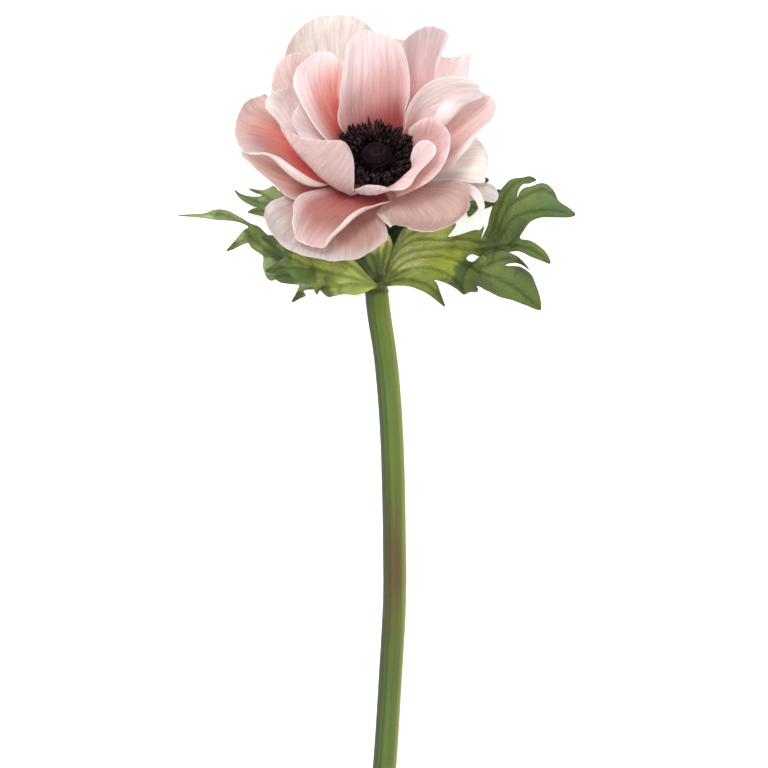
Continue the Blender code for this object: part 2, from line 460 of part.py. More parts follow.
# Pistil: a domed knob on the receptacle, along the bloom's axis.
bpy.ops.mesh.primitive_uv_sphere_add(segments=24, ring_count=12, radius=1.0, location=(0, 0, 0))
ob = bpy.context.object
low = -0.2 * MM
half = (PISTIL_TOP - low) / 2
turn = Vector((0, 0, 1)).rotation_difference(AXIS).to_matrix()
for v in ob.data.vertices:
    p = Vector((v.co.x * PISTIL_RADIUS, v.co.y * PISTIL_RADIUS, low + half + v.co.z * half))
    v.co = HEART + turn @ p
ob.data.shade_smooth()
keep(ob, "pistil", (0.02, 0.01, 0.015), 0.6)

# Stamens: one crowded ring, its crown rising and falling with the anthers.
bpy.ops.mesh.primitive_torus_add(major_segments=STAMEN_COUNT * 2, minor_segments=8, major_radius=1.0, minor_radius=0.25, location=(0, 0, 0))
ob = bpy.context.object
for v in ob.data.vertices:
    a = math.atan2(v.co.y, v.co.x)
    rad = math.hypot(v.co.x, v.co.y)
    c, t = (rad - 1.0) / 0.25, v.co.z / 0.25
    k = round(a / (math.pi / STAMEN_COUNT)) % 2
    rho = 9.0 + 2.45 * c
    h = 7.2 + 0.42 * 2.8 * c + 1.8 * t
    if t > -0.2 and c > -0.2:
        rho += 0.4 * (1 if k else -1) * max(c, 0)
        h += (0.7 if k else -0.7) * max(t, 0)
    v.co = HEART + turn @ Vector((rho * MM * math.cos(a), rho * MM * math.sin(a), h * MM))
ob.data.shade_smooth()
keep(ob, "stamens", (0.015, 0.01, 0.012), 0.8)
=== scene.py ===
import math

import bmesh
import bpy
import numpy as np
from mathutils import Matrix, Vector
from mathutils.geometry import delaunay_2d_cdt


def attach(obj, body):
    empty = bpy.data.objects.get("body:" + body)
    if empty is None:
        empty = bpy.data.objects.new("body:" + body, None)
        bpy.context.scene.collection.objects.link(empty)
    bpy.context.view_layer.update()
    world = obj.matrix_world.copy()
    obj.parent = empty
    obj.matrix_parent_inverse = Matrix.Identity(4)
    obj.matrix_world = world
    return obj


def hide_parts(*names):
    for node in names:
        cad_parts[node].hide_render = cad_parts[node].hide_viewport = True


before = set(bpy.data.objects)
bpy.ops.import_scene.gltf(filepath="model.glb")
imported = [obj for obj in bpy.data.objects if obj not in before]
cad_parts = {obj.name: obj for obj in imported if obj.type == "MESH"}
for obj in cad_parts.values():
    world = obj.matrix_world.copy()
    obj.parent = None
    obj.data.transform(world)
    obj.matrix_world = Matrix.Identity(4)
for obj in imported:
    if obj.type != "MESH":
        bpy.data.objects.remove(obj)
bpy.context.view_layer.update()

# The flower is set out on a sheet, in thirds of a millimetre, as its CAD is.
MM = 0.001
SHEET = MM / 3.0
SHEET_X, SHEET_Y = 377.0, 464.0
BLOOM_X, BLOOM_Y = 377.0, 168.0
BLOOM_Z = 32.0 * MM
TILT = math.radians(35.0)
COS, SIN, TAN = math.cos(TILT), math.sin(TILT), math.tan(TILT)
AXIS = Vector((0.0, SIN, COS))


def ring(rho, a0, a1, h, n):
    out = []
    for i in range(n):
        t = i / (n - 1)
        a = math.radians(a0 + (a1 - a0) * t)
        if isinstance(h, list):
            k = t * (len(h) - 1)
            j = min(int(k), len(h) - 2)
            hh = h[j] + (h[j + 1] - h[j]) * (k - j)
        elif isinstance(h, tuple):
            hh = h[0] + (h[1] - h[0]) * (1 - (2 * t - 1) ** 2)
        else:
            hh = h
        out.append((BLOOM_X + 3 * rho * math.cos(a), BLOOM_Y - 3 * (COS * rho * math.sin(a) + SIN * hh), hh))
    return out


PETALS = {}
PETALS["petal_top_centre"]=[ring(6.0,112,72,1.6,5),
 [(347,136,8),(357,131,5),(374,128,4),(391,128,5),(402,131,7.5)],
 [(338,122,13.5),(352,112,9.5),(373,109,8.0),(392,109,9),(405,113,12.5)],
 [(339,102,18.2),(353,92,14),(373,88,12.5),(392,89,13.5),(409,95,16)],
 [(343,76,20.6),(354,64,18.6),(373,60,17.7),(391,61,18.5),(408,67,20)],
 [(346,48,21.5),(356,34,22),(372,31,22),(388,36,22.5),(402,45,22.5)]]
PETALS["petal_upper_left"]=[ring(6.0,148,120,1.2,5),
 [(340,148,5.0),(344,143,3.6),(349,139,3),(354,136,3),(358,134,3.2)],
 [(328,142,9.5),(334,136,7),(341,131,5.6),(347,127,5.6),(351,125,6)],
 [(311,122,15),(319,117,12),(328,113,10),(337,111,9.6),(345,112,10.0)],
 [(300,102,18.5),(308,96,16),(320,92,13.8),(332,91,13.3),(342,96,14.2)],
 [(293,83,21),(303,76,18.8),(317,72,17.2),(332,72,17.2),(344,78,18.2)],
 [(298,67,22),(308,58,20.7),(321,52.5,20),(334,54.5,20),(343,66,20.0)]]
PETALS["petal_left_fold"]=[ring(6.0,240,164,1.0,9),
 ring(12.0,248,164,[3.5,2.6,2.0,1.8,1.8,1.8,1.8,1.8,2.0],9),
 [(351,196,3.5),(340,190,6.5),(325,179,9.5),(309,165,12),(296,152,14),(288,140,14.5),(287,130,12),(295,121,8.8),(307,118,5.8)],
 [(353,193,7),(349,180,11),(338,163,14.5),(321,153,16.5),(300,146,17),(285,133,17.5),(276,116,15.5),(283,101,12),(300,97,9.5)],
 [(352,191,9),(354,168,15),(347,145,19),(330,141.5,20),(302,139,20),(283,127,19.5),(267,108,19),(275,93,16.5),(297,87,13.5)]]
PETALS["petal_left_small"]=[ring(6.0,160,146,0.3,5),
 [(342,152,3.4),(344,149,2.6),(346,146,2.2),(348,143,2.0),(350,141,2.0)],
 [(329,150,8.2),(330,143,6.2),(333,137,4.8),(337,132,4.0),(341,129,3.8)],
 [(312,143,11.8),(312,134,9.5),(315,126,8.4),(320,119,8.0),(327,113,8.0)],
 [(301,138,14.5),(300,128,12.5),(303,118,11.5),(309,110,11.2),(317,104,11.2)],
 [(295,130,16.5),(293,119,15.2),(296,109,14.2),(303,102,13.8),(311,98,13.4)]]
PETALS["petal_front_small"]=[ring(6.0,325,252,2.0,8),
 ring(11.5,-5,-116,[5,4.6,4.3,4.2,4.2,4.2,4.2,4.2],8),
 [(411,163,10.3),(412,166,10.3),(411,170,10.3),(405,176,10.5),(399,182,10),(389,190,8.4),(374,196,7.0),(361,196,6.4)],
 [(411,156,14),(417,155,14.5),(421,160,15),(414,172,13.5),(405,183,12.5),(393,191,12),(374,193,10.5),(357,194,9.4)],
 [(413,149,16),(425,141,18),(436,151,19),(420,171,15.5),(411,185,14.5),(397,192,14),(374,186,13.5),(354,190.5,12.0)]]
PETALS["petal_right_inner"]=[ring(6.0,18,-36,1.0,7),
 ring(12.0,26,-66,[3.6,2.6,2,2,2,2,2.6],7),
 [(409,138,7),(419,140,7),(427,147,7),(428,159,7),(420,173,6.5),(408,184,5.2),(395,193,3.6)],
 [(409,132,8.8),(425,128,13),(439,136,14.5),(441,153,14.5),(431,174,12.5),(414,187,8.8),(396,196,5.2)],
 [(409,128.5,10.0),(428,118,17.5),(446,129,20),(450,148,20.5),(438,172,17.5),(418,187.5,12),(397,195.5,7)]]
PETALS["petal_right_arch"]=[ring(6.0,60,30,0.4,6),
 [(398,142,5.0),(402,143,3.6),(405,144,2.8),(408,146,2.2),(411,148,2.0),(413,149.5,2.0)],
 [(404,131,9.0),(408,130,6.0),(413,131,4.6),(418,134,4.2),(422,137,4.6),(424,139,5.6)],
 [(407.5,110,15.0),(416,109,11.5),(427,113,9.3),(439,122,9.5),(445,125,12),(434,117.5,16)],
 [(418,92,17.5),(427,98,14.2),(439,107,12),(453,117,13),(453,112,16.5),(443,104,19)],
 [(436,80,18.8),(444,90,16),(454,98,14.2),(464,107,15.5),(462,103,18),(455,99.5,20)],
 [(461,78,19.2),(465,86,17.5),(469,93,16.2),(474,100.5,17),(472,100,18.4),(468,99.2,19.8)],
 [(478,86,18.8),(480,89,18.2),(481.5,92,17.9),(482.2,94.5,17.8),(481.3,96.5,18.2),(480,97.5,18.6)]]
PETALS["petal_top_right"]=[ring(6.0,78,46,-0.4,5),
 [(389,133,2),(396,132,1.4),(402,132,1.2),(408,134,1.4),(412,138,1.8)],
 [(393,115,4.2),(403,111,3.6),(411,109,3.6),(418,110,4.4),(424,113,6)],
 [(398,92,10),(410,86,8.5),(421,84,8.5),(429,85,11),(434,88,13.2)],
 [(399,64,16),(412,58,14),(425,57,13),(433,60,16),(438,64,19.0)],
 [(402,46,19),(414,31,18),(431,25,17),(443,28,17.5),(451,34,20)]]
PETALS["petal_left_upper"]=[ring(6.0,162,128,-0.5,5),
 [(343,158,.4),(345,151,.4),(348,145,.4),(352,140,.8),(357,136,1.4)],
 [(322,148,3.4),(322,136,2.8),(325,125,2.4),(331,115,3.2),(338,108,4.8)],
 [(297,132,8.0),(294,114,7.2),(298,99,6.8),(307,87,8.2),(319,80,10.5)],
 [(277,110,12.4),(277,91,12),(282,75,12.4),(295,66,12.8),(315,62,13.5)],
 [(270,99,15.0),(272,79,15.2),(279,61,15.4),(298,53.5,15.6),(323,52,16.2)]]
PETALS["petal_left_outer"]=[ring(6.0,204,166,-0.5,6),
 ring(13.0,210,166,[1.2,0.5,-.1,-.3,-.3,-.2],6),
 [(322,184,5.5),(315,187,5.2),(310,172,2.5),(306,156,1.6),(308,144,1.0),(311,133,1.2)],
 [(296,170,13.0),(289,174.5,11.5),(283,161,6.5),(275,142,4.8),(278,124,4.0),(286,111,4.6)],
 [(271,154,16.5),(268,156,14.5),(258,150,10.5),(249,135,8.8),(254,114,8.4),(272,99.5,10.0)],
 [(259,155,15.5),(250,155.5,15),(240,149,14),(235,131,13.5),(245,104.5,13.5),(265,93.5,14.2)]]
PETALS["petal_bottom_front"]=[ring(6.0,276,216,-0.2,6),
 ring(12.5,284,210,[1.2,0.4,0.0,0,0,0],6),
 [(390,202,4.5),(386,203,3.4),(367,205,1.8),(347,202,1.2),(331,196,1.8),(318,190,3.6)],
 [(368,207,9),(369,209.5,7.2),(350,217,3.4),(329,214,2.4),(310,206,3.6),(299,197,7)],
 [(346,220,10.5),(349,224,9),(334,231,5),(315,229,4.0),(301,222,5.2),(293,212,8.0)],
 [(331,240,11),(324,247,9.5),(314,247.5,8.5),(304,245,8),(297,238,8.3),(293,225,9.0)]]
PETALS["petal_bottom_right"]=[ring(6.0,338,282,-0.6,5),
 ring(12.5,340,284,[0.1,-0.5,-0.9,-1.0,-1.0],5),
 [(438,184,5.5),(430,190,3.2),(418,197,1.8),(401,204,1.0),(381,207,0.6)],
 [(459,181,9.0),(451,193,5.6),(434,207,3.6),(408,213,3.0),(376,211.5,2.4)],
 [(468,190,11),(465,207,8),(442,221,5.6),(410,222,5.0),(381,220,6.0)],
 [(469,207,10.4),(460,221,8.6),(430,233,7.4),(405,228.5,6.8),(389,228,7.2)]]
PETALS["petal_right_outer"]=[ring(6.0,24,-15,-0.6,6),
 ring(12.5,28,-17,[-0.4,-0.6,-0.8,-1.1,-1.3,-1.4],6),
 [(427,141,2.6),(428,143,2.2),(430,148,1.8),(430,155,1.6),(431,163,1.4),(433,169,1.8)],
 [(449,119,8.0),(448,121,7.2),(449,130,6.2),(450,142,5.8),(450,156,6.6),(450,171,8.6)],
 [(465,108,13.6),(463,105,13.0),(468,113,10.6),(471,124,9.8),(470,136,10),(466,148,12.4)],
 [(480,98,16.2),(484,94,16.0),(491,95.5,15.0),(496.5,104,14.2),(493,117,14.2),(483,131.5,15.4)]]
PETALS["petal_right_back_up"]=[ring(6.0,62,30,-1.4,5),
 ring(12.5,66,28,[-1.2,-1.5,-1.6,-1.5,-1.2],5),
 [(408,112,1.2),(420,107,.8),(430,106,.8),(439,109,1.4),(446,117,2.8)],
 [(424,82,6.5),(438,77,6),(449,77,5.8),(459,82,7),(466,93,8.6)],
 [(438,55,12),(448,57,11.5),(459,55,12),(471,52,14),(463,76,11)]]
PETALS["petal_left_back"]=[ring(6.0,226,190,-1.4,5),
 ring(13.0,230,186,[-1.0,-1.4,-1.6,-1.6,-1.6],5),
 [(323,202,.8),(318,193,-.2),(314,183,-.7),(312,173,-.9),(312,163,-.6)],
 [(290,197,4.4),(284,187,2.6),(279,175,1.6),(277,163,1.5),(279,150,2.0)],
 [(264,177,8.5),(257,169,6.6),(252,159,5.4),(252,148,5.2),(257,137,5.6)],
 [(250,164,11.0),(243,157,10.2),(242,151,9.4),(245,142,8.0),(250,134,7.6)]]
PETALS["petal_right_back"]=[ring(6.0,12,-18,-1.4,5),
 ring(12.5,14,-18,[-1.9,-2.1,-2.3,-2.5,-2.5],5),
 [(436,150,.2),(437,158,-.3),(438,166,-.4),(438,173,-.4),(437,181,.2)],
 [(460,139,4.4),(463,150,3.4),(465,161,3.2),(465,172,3.6),(463,183,4.4)],
 [(473,138,8),(481,148,6.6),(484.5,160,6.2),(483,172,6.4),(478,184,7)],
 [(477,142,9.0),(485.5,152,8.6),(488,163,8.4),(487,172,8.2),(484,183,8.2)]]
PETALS["petal_right_low_back"]=[ring(6.0,-22,-46,-2.2,5),
 ring(12.5,-24,-48,[-2.9,-2.9,-2.8,-2.6,-2.4],5),
 [(440,174,-1.2),(441,181,-1.3),(441,187,-1.4),(440,193,-1.2),(436,200,-.6)],
 [(466,176,2.6),(468,182,2.0),(468,188,1.8),(466,194,1.8),(461,200,2.4)],
 [(484,183,5.4),(486,188,4.9),(485,193,4.6),(482,197,4.6),(476,201,5.0)],
 [(490,187,7.6),(495,191,7.4),(497,197,7.0),(493,202,6.6),(484,200.5,6.2)]]
PETALS["petal_tongue"]=[ring(6.0,-38,-48,-1.4,3),
 ring(12.5,-37,-45,-1.5,3),
 [(437,188,.2),(435,192,.0),(432,196,.2)],
 [(460,183,4.0),(459,187,3.6),(457,191,3.9)],
 [(476,189,8.6),(472,192,8.0),(469,195,8.0)],
 [(482,199,9.6),(478,201,9.2),(475,202,9.2)],
 [(484,207,9.6),(481,212,9.2),(478,209,9.4)]]
PETALS["petal_top_back"]=[ring(6.0,132,96,-1.4,5),
 ring(13.0,134,90,(-1.2,-1.6),5),
 [(318,112,1.4),(334,101,.4),(351,96,.2),(366,96,.8),(380,99,1.6)],
 [(286,69,9),(309,56,7.2),(336,50,6.4),(358,51,7),(377,58,8.2)],
 [(291,43,16),(305,24,15),(336,14,14),(362,21,14.6),(379,37,15.2)]]
PETALS["petal_top_back_right"]=[ring(6.0,94,62,-2.2,5),
 ring(13.0,92,60,(-2.2,-2.6),5),
 [(370,101,-1.2),(380,98,-1.4),(391,97,-1.6),(402,99,-1.4),(412,103,-.8)],
 [(368,66,4.0),(380,61,3.6),(394,59,3.5),(408,62,3.8),(420,70,4.8)],
 [(378,47,8.0),(388,39,8.2),(399,36.5,8.6),(410,41,8.4),(422,53,8)]]
PETALS["petal_bottom_back"]=[ring(6.0,280,206,-2.2,6),
 ring(13.0,284,200,[-1.6,-2.2,-2.5,-2.6,-2.6,-2.5],6),
 [(380,209,-.6),(362,213,-1.8),(344,213,-2.3),(327,208,-2.4),(314,200,-2.4),(305,188,-1.9)],
 [(384,223,2.6),(366,230,.8),(344,232,-.4),(321,227,-.6),(301,214,.4),(286,196,2)],
 [(387,235,6),(368,245,4.2),(344,249,3),(313,245,2.4),(283,231,3.2),(269,205,5.2)],
 [(384,243,8),(367,253,6.8),(343,260,5.8),(308,256,5.2),(278,243,5.6),(265,216,7.2)]]

# ---------------------------------------------------------------- geometry

def spline_weights(knots, at):
    t = np.asarray(knots, float)
    n = len(t)
    d = np.diff(t)
    a = np.zeros((n, n))
    b = np.zeros((n, n))
    a[0, 0] = a[-1, -1] = 1.0
    for i in range(1, n - 1):
        a[i, i - 1], a[i, i], a[i, i + 1] = d[i - 1], 2 * (d[i - 1] + d[i]), d[i]
        b[i, i - 1], b[i, i], b[i, i + 1] = 6 / d[i - 1], -6 / d[i - 1] - 6 / d[i], 6 / d[i]
    curv = np.linalg.solve(a, b)
    out = np.zeros((len(at), n))
    for r, x in enumerate(at):
        k = min(max(int(np.searchsorted(t, x)) - 1, 0), n - 2)
        w = d[k]
        p, q = (t[k + 1] - x) / w, (x - t[k]) / w
        out[r, k] += p
        out[r, k + 1] += q
        out[r] += ((p ** 3 - p) * curv[k] + (q ** 3 - q) * curv[k + 1]) * w * w / 6
    return out


def bloom_point(x, y, h):
    lift = -TAN * (BLOOM_Y - y) * SHEET + h * MM / COS
    return ((x - SHEET_X) * SHEET, (SHEET_Y - y) * SHEET, BLOOM_Z + lift)


def sheet_point(x, y, w):
    return ((x - SHEET_X) * SHEET, (SHEET_Y - y) * SHEET, BLOOM_Z + w * SHEET)


def chord_knots(points, axis):
    gap = np.linalg.norm(np.diff(points, axis=axis), axis=2).mean(1 - axis) ** 0.5
    s = np.concatenate([[0.0], np.cumsum(gap)])
    return s / s[-1]


def smooth(a, b, x):
    t = np.clip((x - a) / (b - a), 0.0, 1.0)
    return t * t * (3 - 2 * t)


def lattice(seed, shape):
    return np.random.default_rng(seed).uniform(-1.0, 1.0, shape)


def noise2(x, y, seed):
    """Smooth value noise in -1..1 at arrays x, y, one cell per unit."""
    g = lattice(seed, (64, 64))
    xi, yi = np.floor(x).astype(int), np.floor(y).astype(int)
    fx, fy = x - xi, y - yi
    fx, fy = fx * fx * (3 - 2 * fx), fy * fy * (3 - 2 * fy)
    a, b = g[xi % 64, yi % 64], g[(xi + 1) % 64, yi % 64]
    c, d = g[xi % 64, (yi + 1) % 64], g[(xi + 1) % 64, (yi + 1) % 64]
    return (a * (1 - fx) + b * fx) * (1 - fy) + (c * (1 - fx) + d * fx) * fy


def normals_of(g):
    n = np.cross(np.gradient(g, axis=1), np.gradient(g, axis=0))
    return n / np.maximum(np.linalg.norm(n, axis=2, keepdims=True), 1e-12)


def new_mesh(name, verts, faces, smooth_shade=True):
    me = bpy.data.meshes.new(name)
    me.from_pydata([tuple(v) for v in verts], [], [tuple(int(i) for i in f) for f in faces])
    me.update()
    if smooth_shade:
        me.shade_smooth()
    ob = bpy.data.objects.new(name, me)
    bpy.context.scene.collection.objects.link(ob)
    return ob


def paint(ob, name, colours):
    """A colour per vertex, linear, for the material to read."""
    a = ob.data.color_attributes.new(name, "FLOAT_COLOR", "POINT")
    c = np.ones((len(ob.data.vertices), 4), np.float32)
    c[:, :3] = colours
    a.data.foreach_set("color", c.ravel())


def lay_uv(ob, uv):
    """UV per vertex, given in 30 mm steps across and along."""
    layer = ob.data.uv_layers.new(name="UVMap")
    idx = np.zeros(len(ob.data.loops), np.int32)
    ob.data.loops.foreach_get("vertex_index", idx)
    layer.data.foreach_set("uv", np.asarray(uv, np.float32)[idx].ravel())


def lin(r, g, b):
    """An sRGB colour, 0 to 255, as linear numbers."""
    c = np.array([r, g, b], float) / 255.0
    return np.where(c <= 0.04045, c / 12.92, ((c + 0.055) / 1.055) ** 2.4)


def mix(a, b, t):
    t = np.asarray(t)[..., None]
    return np.asarray(a) * (1 - t) + np.asarray(b) * t


# ---------------------------------------------------------------- materials

def nodes_of(name):
    m = bpy.data.materials.new(name)
    m.use_nodes = True
    nt = m.node_tree
    return m, nt, nt.nodes["Principled BSDF"], nt.nodes["Material Output"]


def add(nt, kind, **kw):
    n = nt.nodes.new(kind)
    for k, v in kw.items():
        setattr(n, k, v)
    return n


def mapped_uv(nt, sx, sy):
    uv = add(nt, "ShaderNodeUVMap", uv_map="UVMap")
    mp = add(nt, "ShaderNodeMapping")
    mp.inputs["Scale"].default_value = (sx, sy, 1.0)
    nt.links.new(uv.outputs[0], mp.inputs["Vector"])
    return mp.outputs[0]


def noise(nt, vec, scale, detail=3.0, rough=0.55):
    n = add(nt, "ShaderNodeTexNoise")
    n.inputs["Scale"].default_value = scale
    n.inputs["Detail"].default_value = detail
    n.inputs["Roughness"].default_value = rough
    nt.links.new(vec, n.inputs["Vector"])
    return n.outputs[0]


def spread(nt, val, lo, hi, a=0.3, b=0.7):
    n = add(nt, "ShaderNodeMapRange")
    n.inputs["From Min"].default_value = a
    n.inputs["From Max"].default_value = b
    n.inputs["To Min"].default_value = lo
    n.inputs["To Max"].default_value = hi
    nt.links.new(val, n.inputs["Value"])
    return n.outputs[0]


def math_node(nt, op, a, b=0.0):
    n = add(nt, "ShaderNodeMath", operation=op)
    for i, x in enumerate((a, b)):
        if isinstance(x, (int, float)):
            n.inputs[i].default_value = x
        else:
            nt.links.new(x, n.inputs[i])
    return n.outputs[0]


def scaled(nt, colour, factor):
    """colour times a number socket."""
    n = add(nt, "ShaderNodeVectorMath", operation="SCALE")
    nt.links.new(colour, n.inputs[0])
    nt.links.new(factor, n.inputs["Scale"])
    return n.outputs[0]


def petal_material(name, rough, see, vein, fine, bump, tint=(1.0, 1.0, 1.0)):
    """Silky petal: painted gradient, streaks that run with the veins, light through it."""
    m, nt, b, out = nodes_of(name)
    base = add(nt, "ShaderNodeVertexColor", layer_name="tint").outputs[0]
    broad = noise(nt, mapped_uv(nt, 33.0, 1.5), 1.0, 3.0, 0.6)
    hair = noise(nt, mapped_uv(nt, 95.0, 3.2), 1.0, 2.0, 0.6)
    cloud = noise(nt, mapped_uv(nt, 3.5, 2.5), 1.0, 2.0, 0.5)
    grain = noise(nt, mapped_uv(nt, 130.0, 130.0), 1.0, 2.0, 0.7)
    crinkle = noise(nt, mapped_uv(nt, 68.0, 27.0), 1.0, 2.0, 0.6)
    fold = math_node(nt, "ABSOLUTE", math_node(nt, "SUBTRACT", noise(nt, mapped_uv(nt, 17.0, 0.9), 1.0, 1.0, 0.5), 0.5), 0.0)
    line = spread(nt, fold, 1.0, 0.0, 0.0, 0.030)
    fold2 = math_node(nt, "ABSOLUTE", math_node(nt, "SUBTRACT", noise(nt, mapped_uv(nt, 41.0, 1.7), 1.0, 1.0, 0.5), 0.5), 0.0)
    line2 = spread(nt, fold2, 1.0, 0.0, 0.0, 0.035)
    f = math_node(nt, "MULTIPLY", spread(nt, broad, 1.0 - vein, 1.0 + vein * 0.6), spread(nt, hair, 1.0 - fine, 1.0 + fine * 0.7))
    f = math_node(nt, "MULTIPLY", f, math_node(nt, "SUBTRACT", 1.0, math_node(nt, "MULTIPLY", line, 0.085)))
    f = math_node(nt, "MULTIPLY", f, math_node(nt, "SUBTRACT", 1.0, math_node(nt, "MULTIPLY", line2, 0.060)))
    f = math_node(nt, "MULTIPLY", f, spread(nt, cloud, 0.965, 1.035))
    f = math_node(nt, "MULTIPLY", f, spread(nt, grain, 0.985, 1.015))
    f = math_node(nt, "MULTIPLY", f, spread(nt, crinkle, 0.972, 1.028))
    colour = scaled(nt, base, f)
    if tint != (1.0, 1.0, 1.0):
        t = add(nt, "ShaderNodeVectorMath", operation="MULTIPLY")
        t.inputs[1].default_value = tint
        nt.links.new(colour, t.inputs[0])
        colour = t.outputs[0]
    # the veins redden a little as they darken
    warm = add(nt, "ShaderNodeVectorMath", operation="MULTIPLY")
    nt.links.new(colour, warm.inputs[0])
    warm.inputs[1].default_value = (1.0, 0.93, 0.93)
    pick = add(nt, "ShaderNodeMix", data_type="RGBA")
    nt.links.new(spread(nt, broad, 1.0, 0.0, 0.3, 0.62), pick.inputs[0])
    nt.links.new(colour, pick.inputs[6])
    nt.links.new(warm.outputs[0], pick.inputs[7])
    nt.links.new(pick.outputs[2], b.inputs["Base Color"])
    b.inputs["Roughness"].default_value = rough
    b.inputs["Specular IOR Level"].default_value = 0.35
    b.inputs["Sheen Weight"].default_value = 0.12
    b.inputs["Sheen Roughness"].default_value = 0.5
    hgt = math_node(nt, "ADD", spread(nt, broad, 0.0, 1.0, 0.0, 1.0), math_node(nt, "MULTIPLY", hair, 0.45))
    hgt = math_node(nt, "ADD", hgt, math_node(nt, "MULTIPLY", grain, 0.16))
    hgt = math_node(nt, "ADD", hgt, math_node(nt, "MULTIPLY", crinkle, 0.55))
    hgt = math_node(nt, "SUBTRACT", hgt, math_node(nt, "ADD", math_node(nt, "MULTIPLY", line, 0.5), math_node(nt, "MULTIPLY", line2, 0.3)))
    bp = add(nt, "ShaderNodeBump")
    bp.inputs["Strength"].default_value = bump
    bp.inputs["Distance"].default_value = 0.0004
    nt.links.new(hgt, bp.inputs["Height"])
    nt.links.new(bp.outputs[0], b.inputs["Normal"])
    thru = add(nt, "ShaderNodeBsdfTranslucent")
    nt.links.new(pick.outputs[2], thru.inputs["Color"])
    nt.links.new(bp.outputs[0], thru.inputs["Normal"])
    ms = add(nt, "ShaderNodeMixShader")
    ms.inputs[0].default_value = see
    nt.links.new(b.outputs[0], ms.inputs[1])
    nt.links.new(thru.outputs[0], ms.inputs[2])
    nt.links.new(ms.outputs[0], out.inputs["Surface"])
    return m


INNER_FACE = petal_material("petal_inner_face", 0.55, 0.50, 0.065, 0.06, 0.52)
OUTER_FACE = petal_material("petal_outer_face", 0.6, 0.50, 0.055, 0.055, 0.44)

# Petal colours, from the throat outwards: base, middle, tip, rim; where the base gives way to the
# middle and the middle to the tip; how far the gradient leans across; the colour of the outer face.
# Besides the petals' own colour, these tones carry painted light and shade: petals that lie in shade have lighter
# tones, and brightly lit or lower petals darker, greyer tones.
LOOK = {
    "petal_top_centre": ((184, 82, 84), (220, 174, 170), (244, 228, 228), (250, 238, 237), (0.14, 0.50), (0.42, 0.88), -0.34, (240, 222, 218)),
    "petal_upper_left": ((225, 76, 74), (229, 158, 148), (246, 237, 238), (253, 252, 254), (0.22, 0.6), (0.52, 0.92), -0.6, (248, 226, 221)),
    "petal_left_fold": ((216, 136, 132), (255, 230, 227), (255, 246, 244), (255, 246, 245), (0.15, 0.4), (0.48, 0.82), 0.1, (222, 193, 189)),
    "petal_left_small": ((255, 194, 194), (255, 228, 227), (255, 240, 239), (255, 244, 243), (0.15, 0.45), (0.50, 0.9), 0.0, (255, 230, 228)),
    "petal_front_small": ((230, 156, 159), (246, 206, 210), (244, 223, 220), (252, 248, 247), (0.15, 0.45), (0.45, 0.85), 0.0, (234, 222, 220)),
    "petal_right_inner": ((232, 160, 160), (244, 207, 205), (246, 220, 219), (252, 240, 238), (0.12, 0.45), (0.55, 0.95), 0.0, (242, 218, 214)),
    "petal_right_arch": ((244, 176, 172), (244, 230, 228), (229, 218, 216), (248, 238, 236), (0.15, 0.50), (0.50, 0.9), 0.0, (236, 214, 210)),
    "petal_top_right": ((232, 184, 180), (238, 208, 207), (200, 184, 184), (246, 240, 240), (0.2, 0.55), (0.6, 1.0), 0.1, (240, 218, 214)),
    "petal_left_upper": ((197, 124, 116), (214, 173, 166), (231, 211, 208), (253, 246, 245), (0.25, 0.6), (0.5, 0.92), -0.3, (250, 240, 237)),
    "petal_left_outer": ((244, 128, 122), (218, 158, 149), (218, 203, 199), (248, 238, 236), (0.38, 0.70), (0.64, 0.95), 0.0, (240, 210, 203)),
    "petal_bottom_front": ((196, 98, 97), (206, 142, 132), (236, 210, 206), (252, 242, 240), (0.28, 0.60), (0.62, 0.94), 0.10, (236, 217, 213)),
    "petal_bottom_right": ((226, 178, 170), (222, 192, 184), (188, 156, 149), (226, 210, 207), (0.20, 0.55), (0.66, 0.98), 0.10, (214, 192, 186)),
    "petal_right_outer": ((250, 200, 196), (224, 192, 187), (234, 216, 215), (248, 241, 240), (0.30, 0.56), (0.66, 0.98), 0.10, (244, 226, 221)),
    "petal_right_back_up": ((244, 226, 224), (248, 240, 239), (240, 226, 226), (248, 238, 237), (0.25, 0.5), (0.60, 1.0), 0.0, (246, 230, 226)),
    "petal_left_back": ((188, 108, 93), (221, 189, 179), (244, 239, 236), (252, 245, 243), (0.35, 0.72), (0.62, 0.92), 0.0, (246, 226, 219)),
    "petal_right_back": ((238, 212, 205), (246, 240, 234), (246, 241, 238), (250, 246, 243), (0.20, 0.45), (0.60, 1.0), 0.0, (242, 231, 225)),
    "petal_right_low_back": ((230, 212, 208), (220, 213, 209), (216, 211, 209), (234, 226, 224), (0.20, 0.45), (0.60, 1.0), 0.0, (222, 211, 206)),
    "petal_tongue": ((216, 170, 166), (238, 221, 219), (240, 228, 227), (246, 238, 236), (0.15, 0.4), (0.50, 0.9), 0.0, (240, 224, 220)),
    "petal_top_back": ((232, 206, 201), (236, 230, 226), (229, 223, 219), (234, 202, 200), (0.25, 0.5), (0.60, 1.0), 0.0, (228, 210, 203)),
    "petal_top_back_right": ((224, 180, 176), (236, 216, 213), (238, 218, 216), (244, 228, 226), (0.25, 0.5), (0.60, 1.0), 0.0, (236, 214, 208)),
    "petal_bottom_back": ((200, 150, 138), (205, 167, 157), (213, 207, 206), (230, 219, 219), (0.36, 0.60), (0.64, 0.96), 0.32, (214, 190, 183)),
}
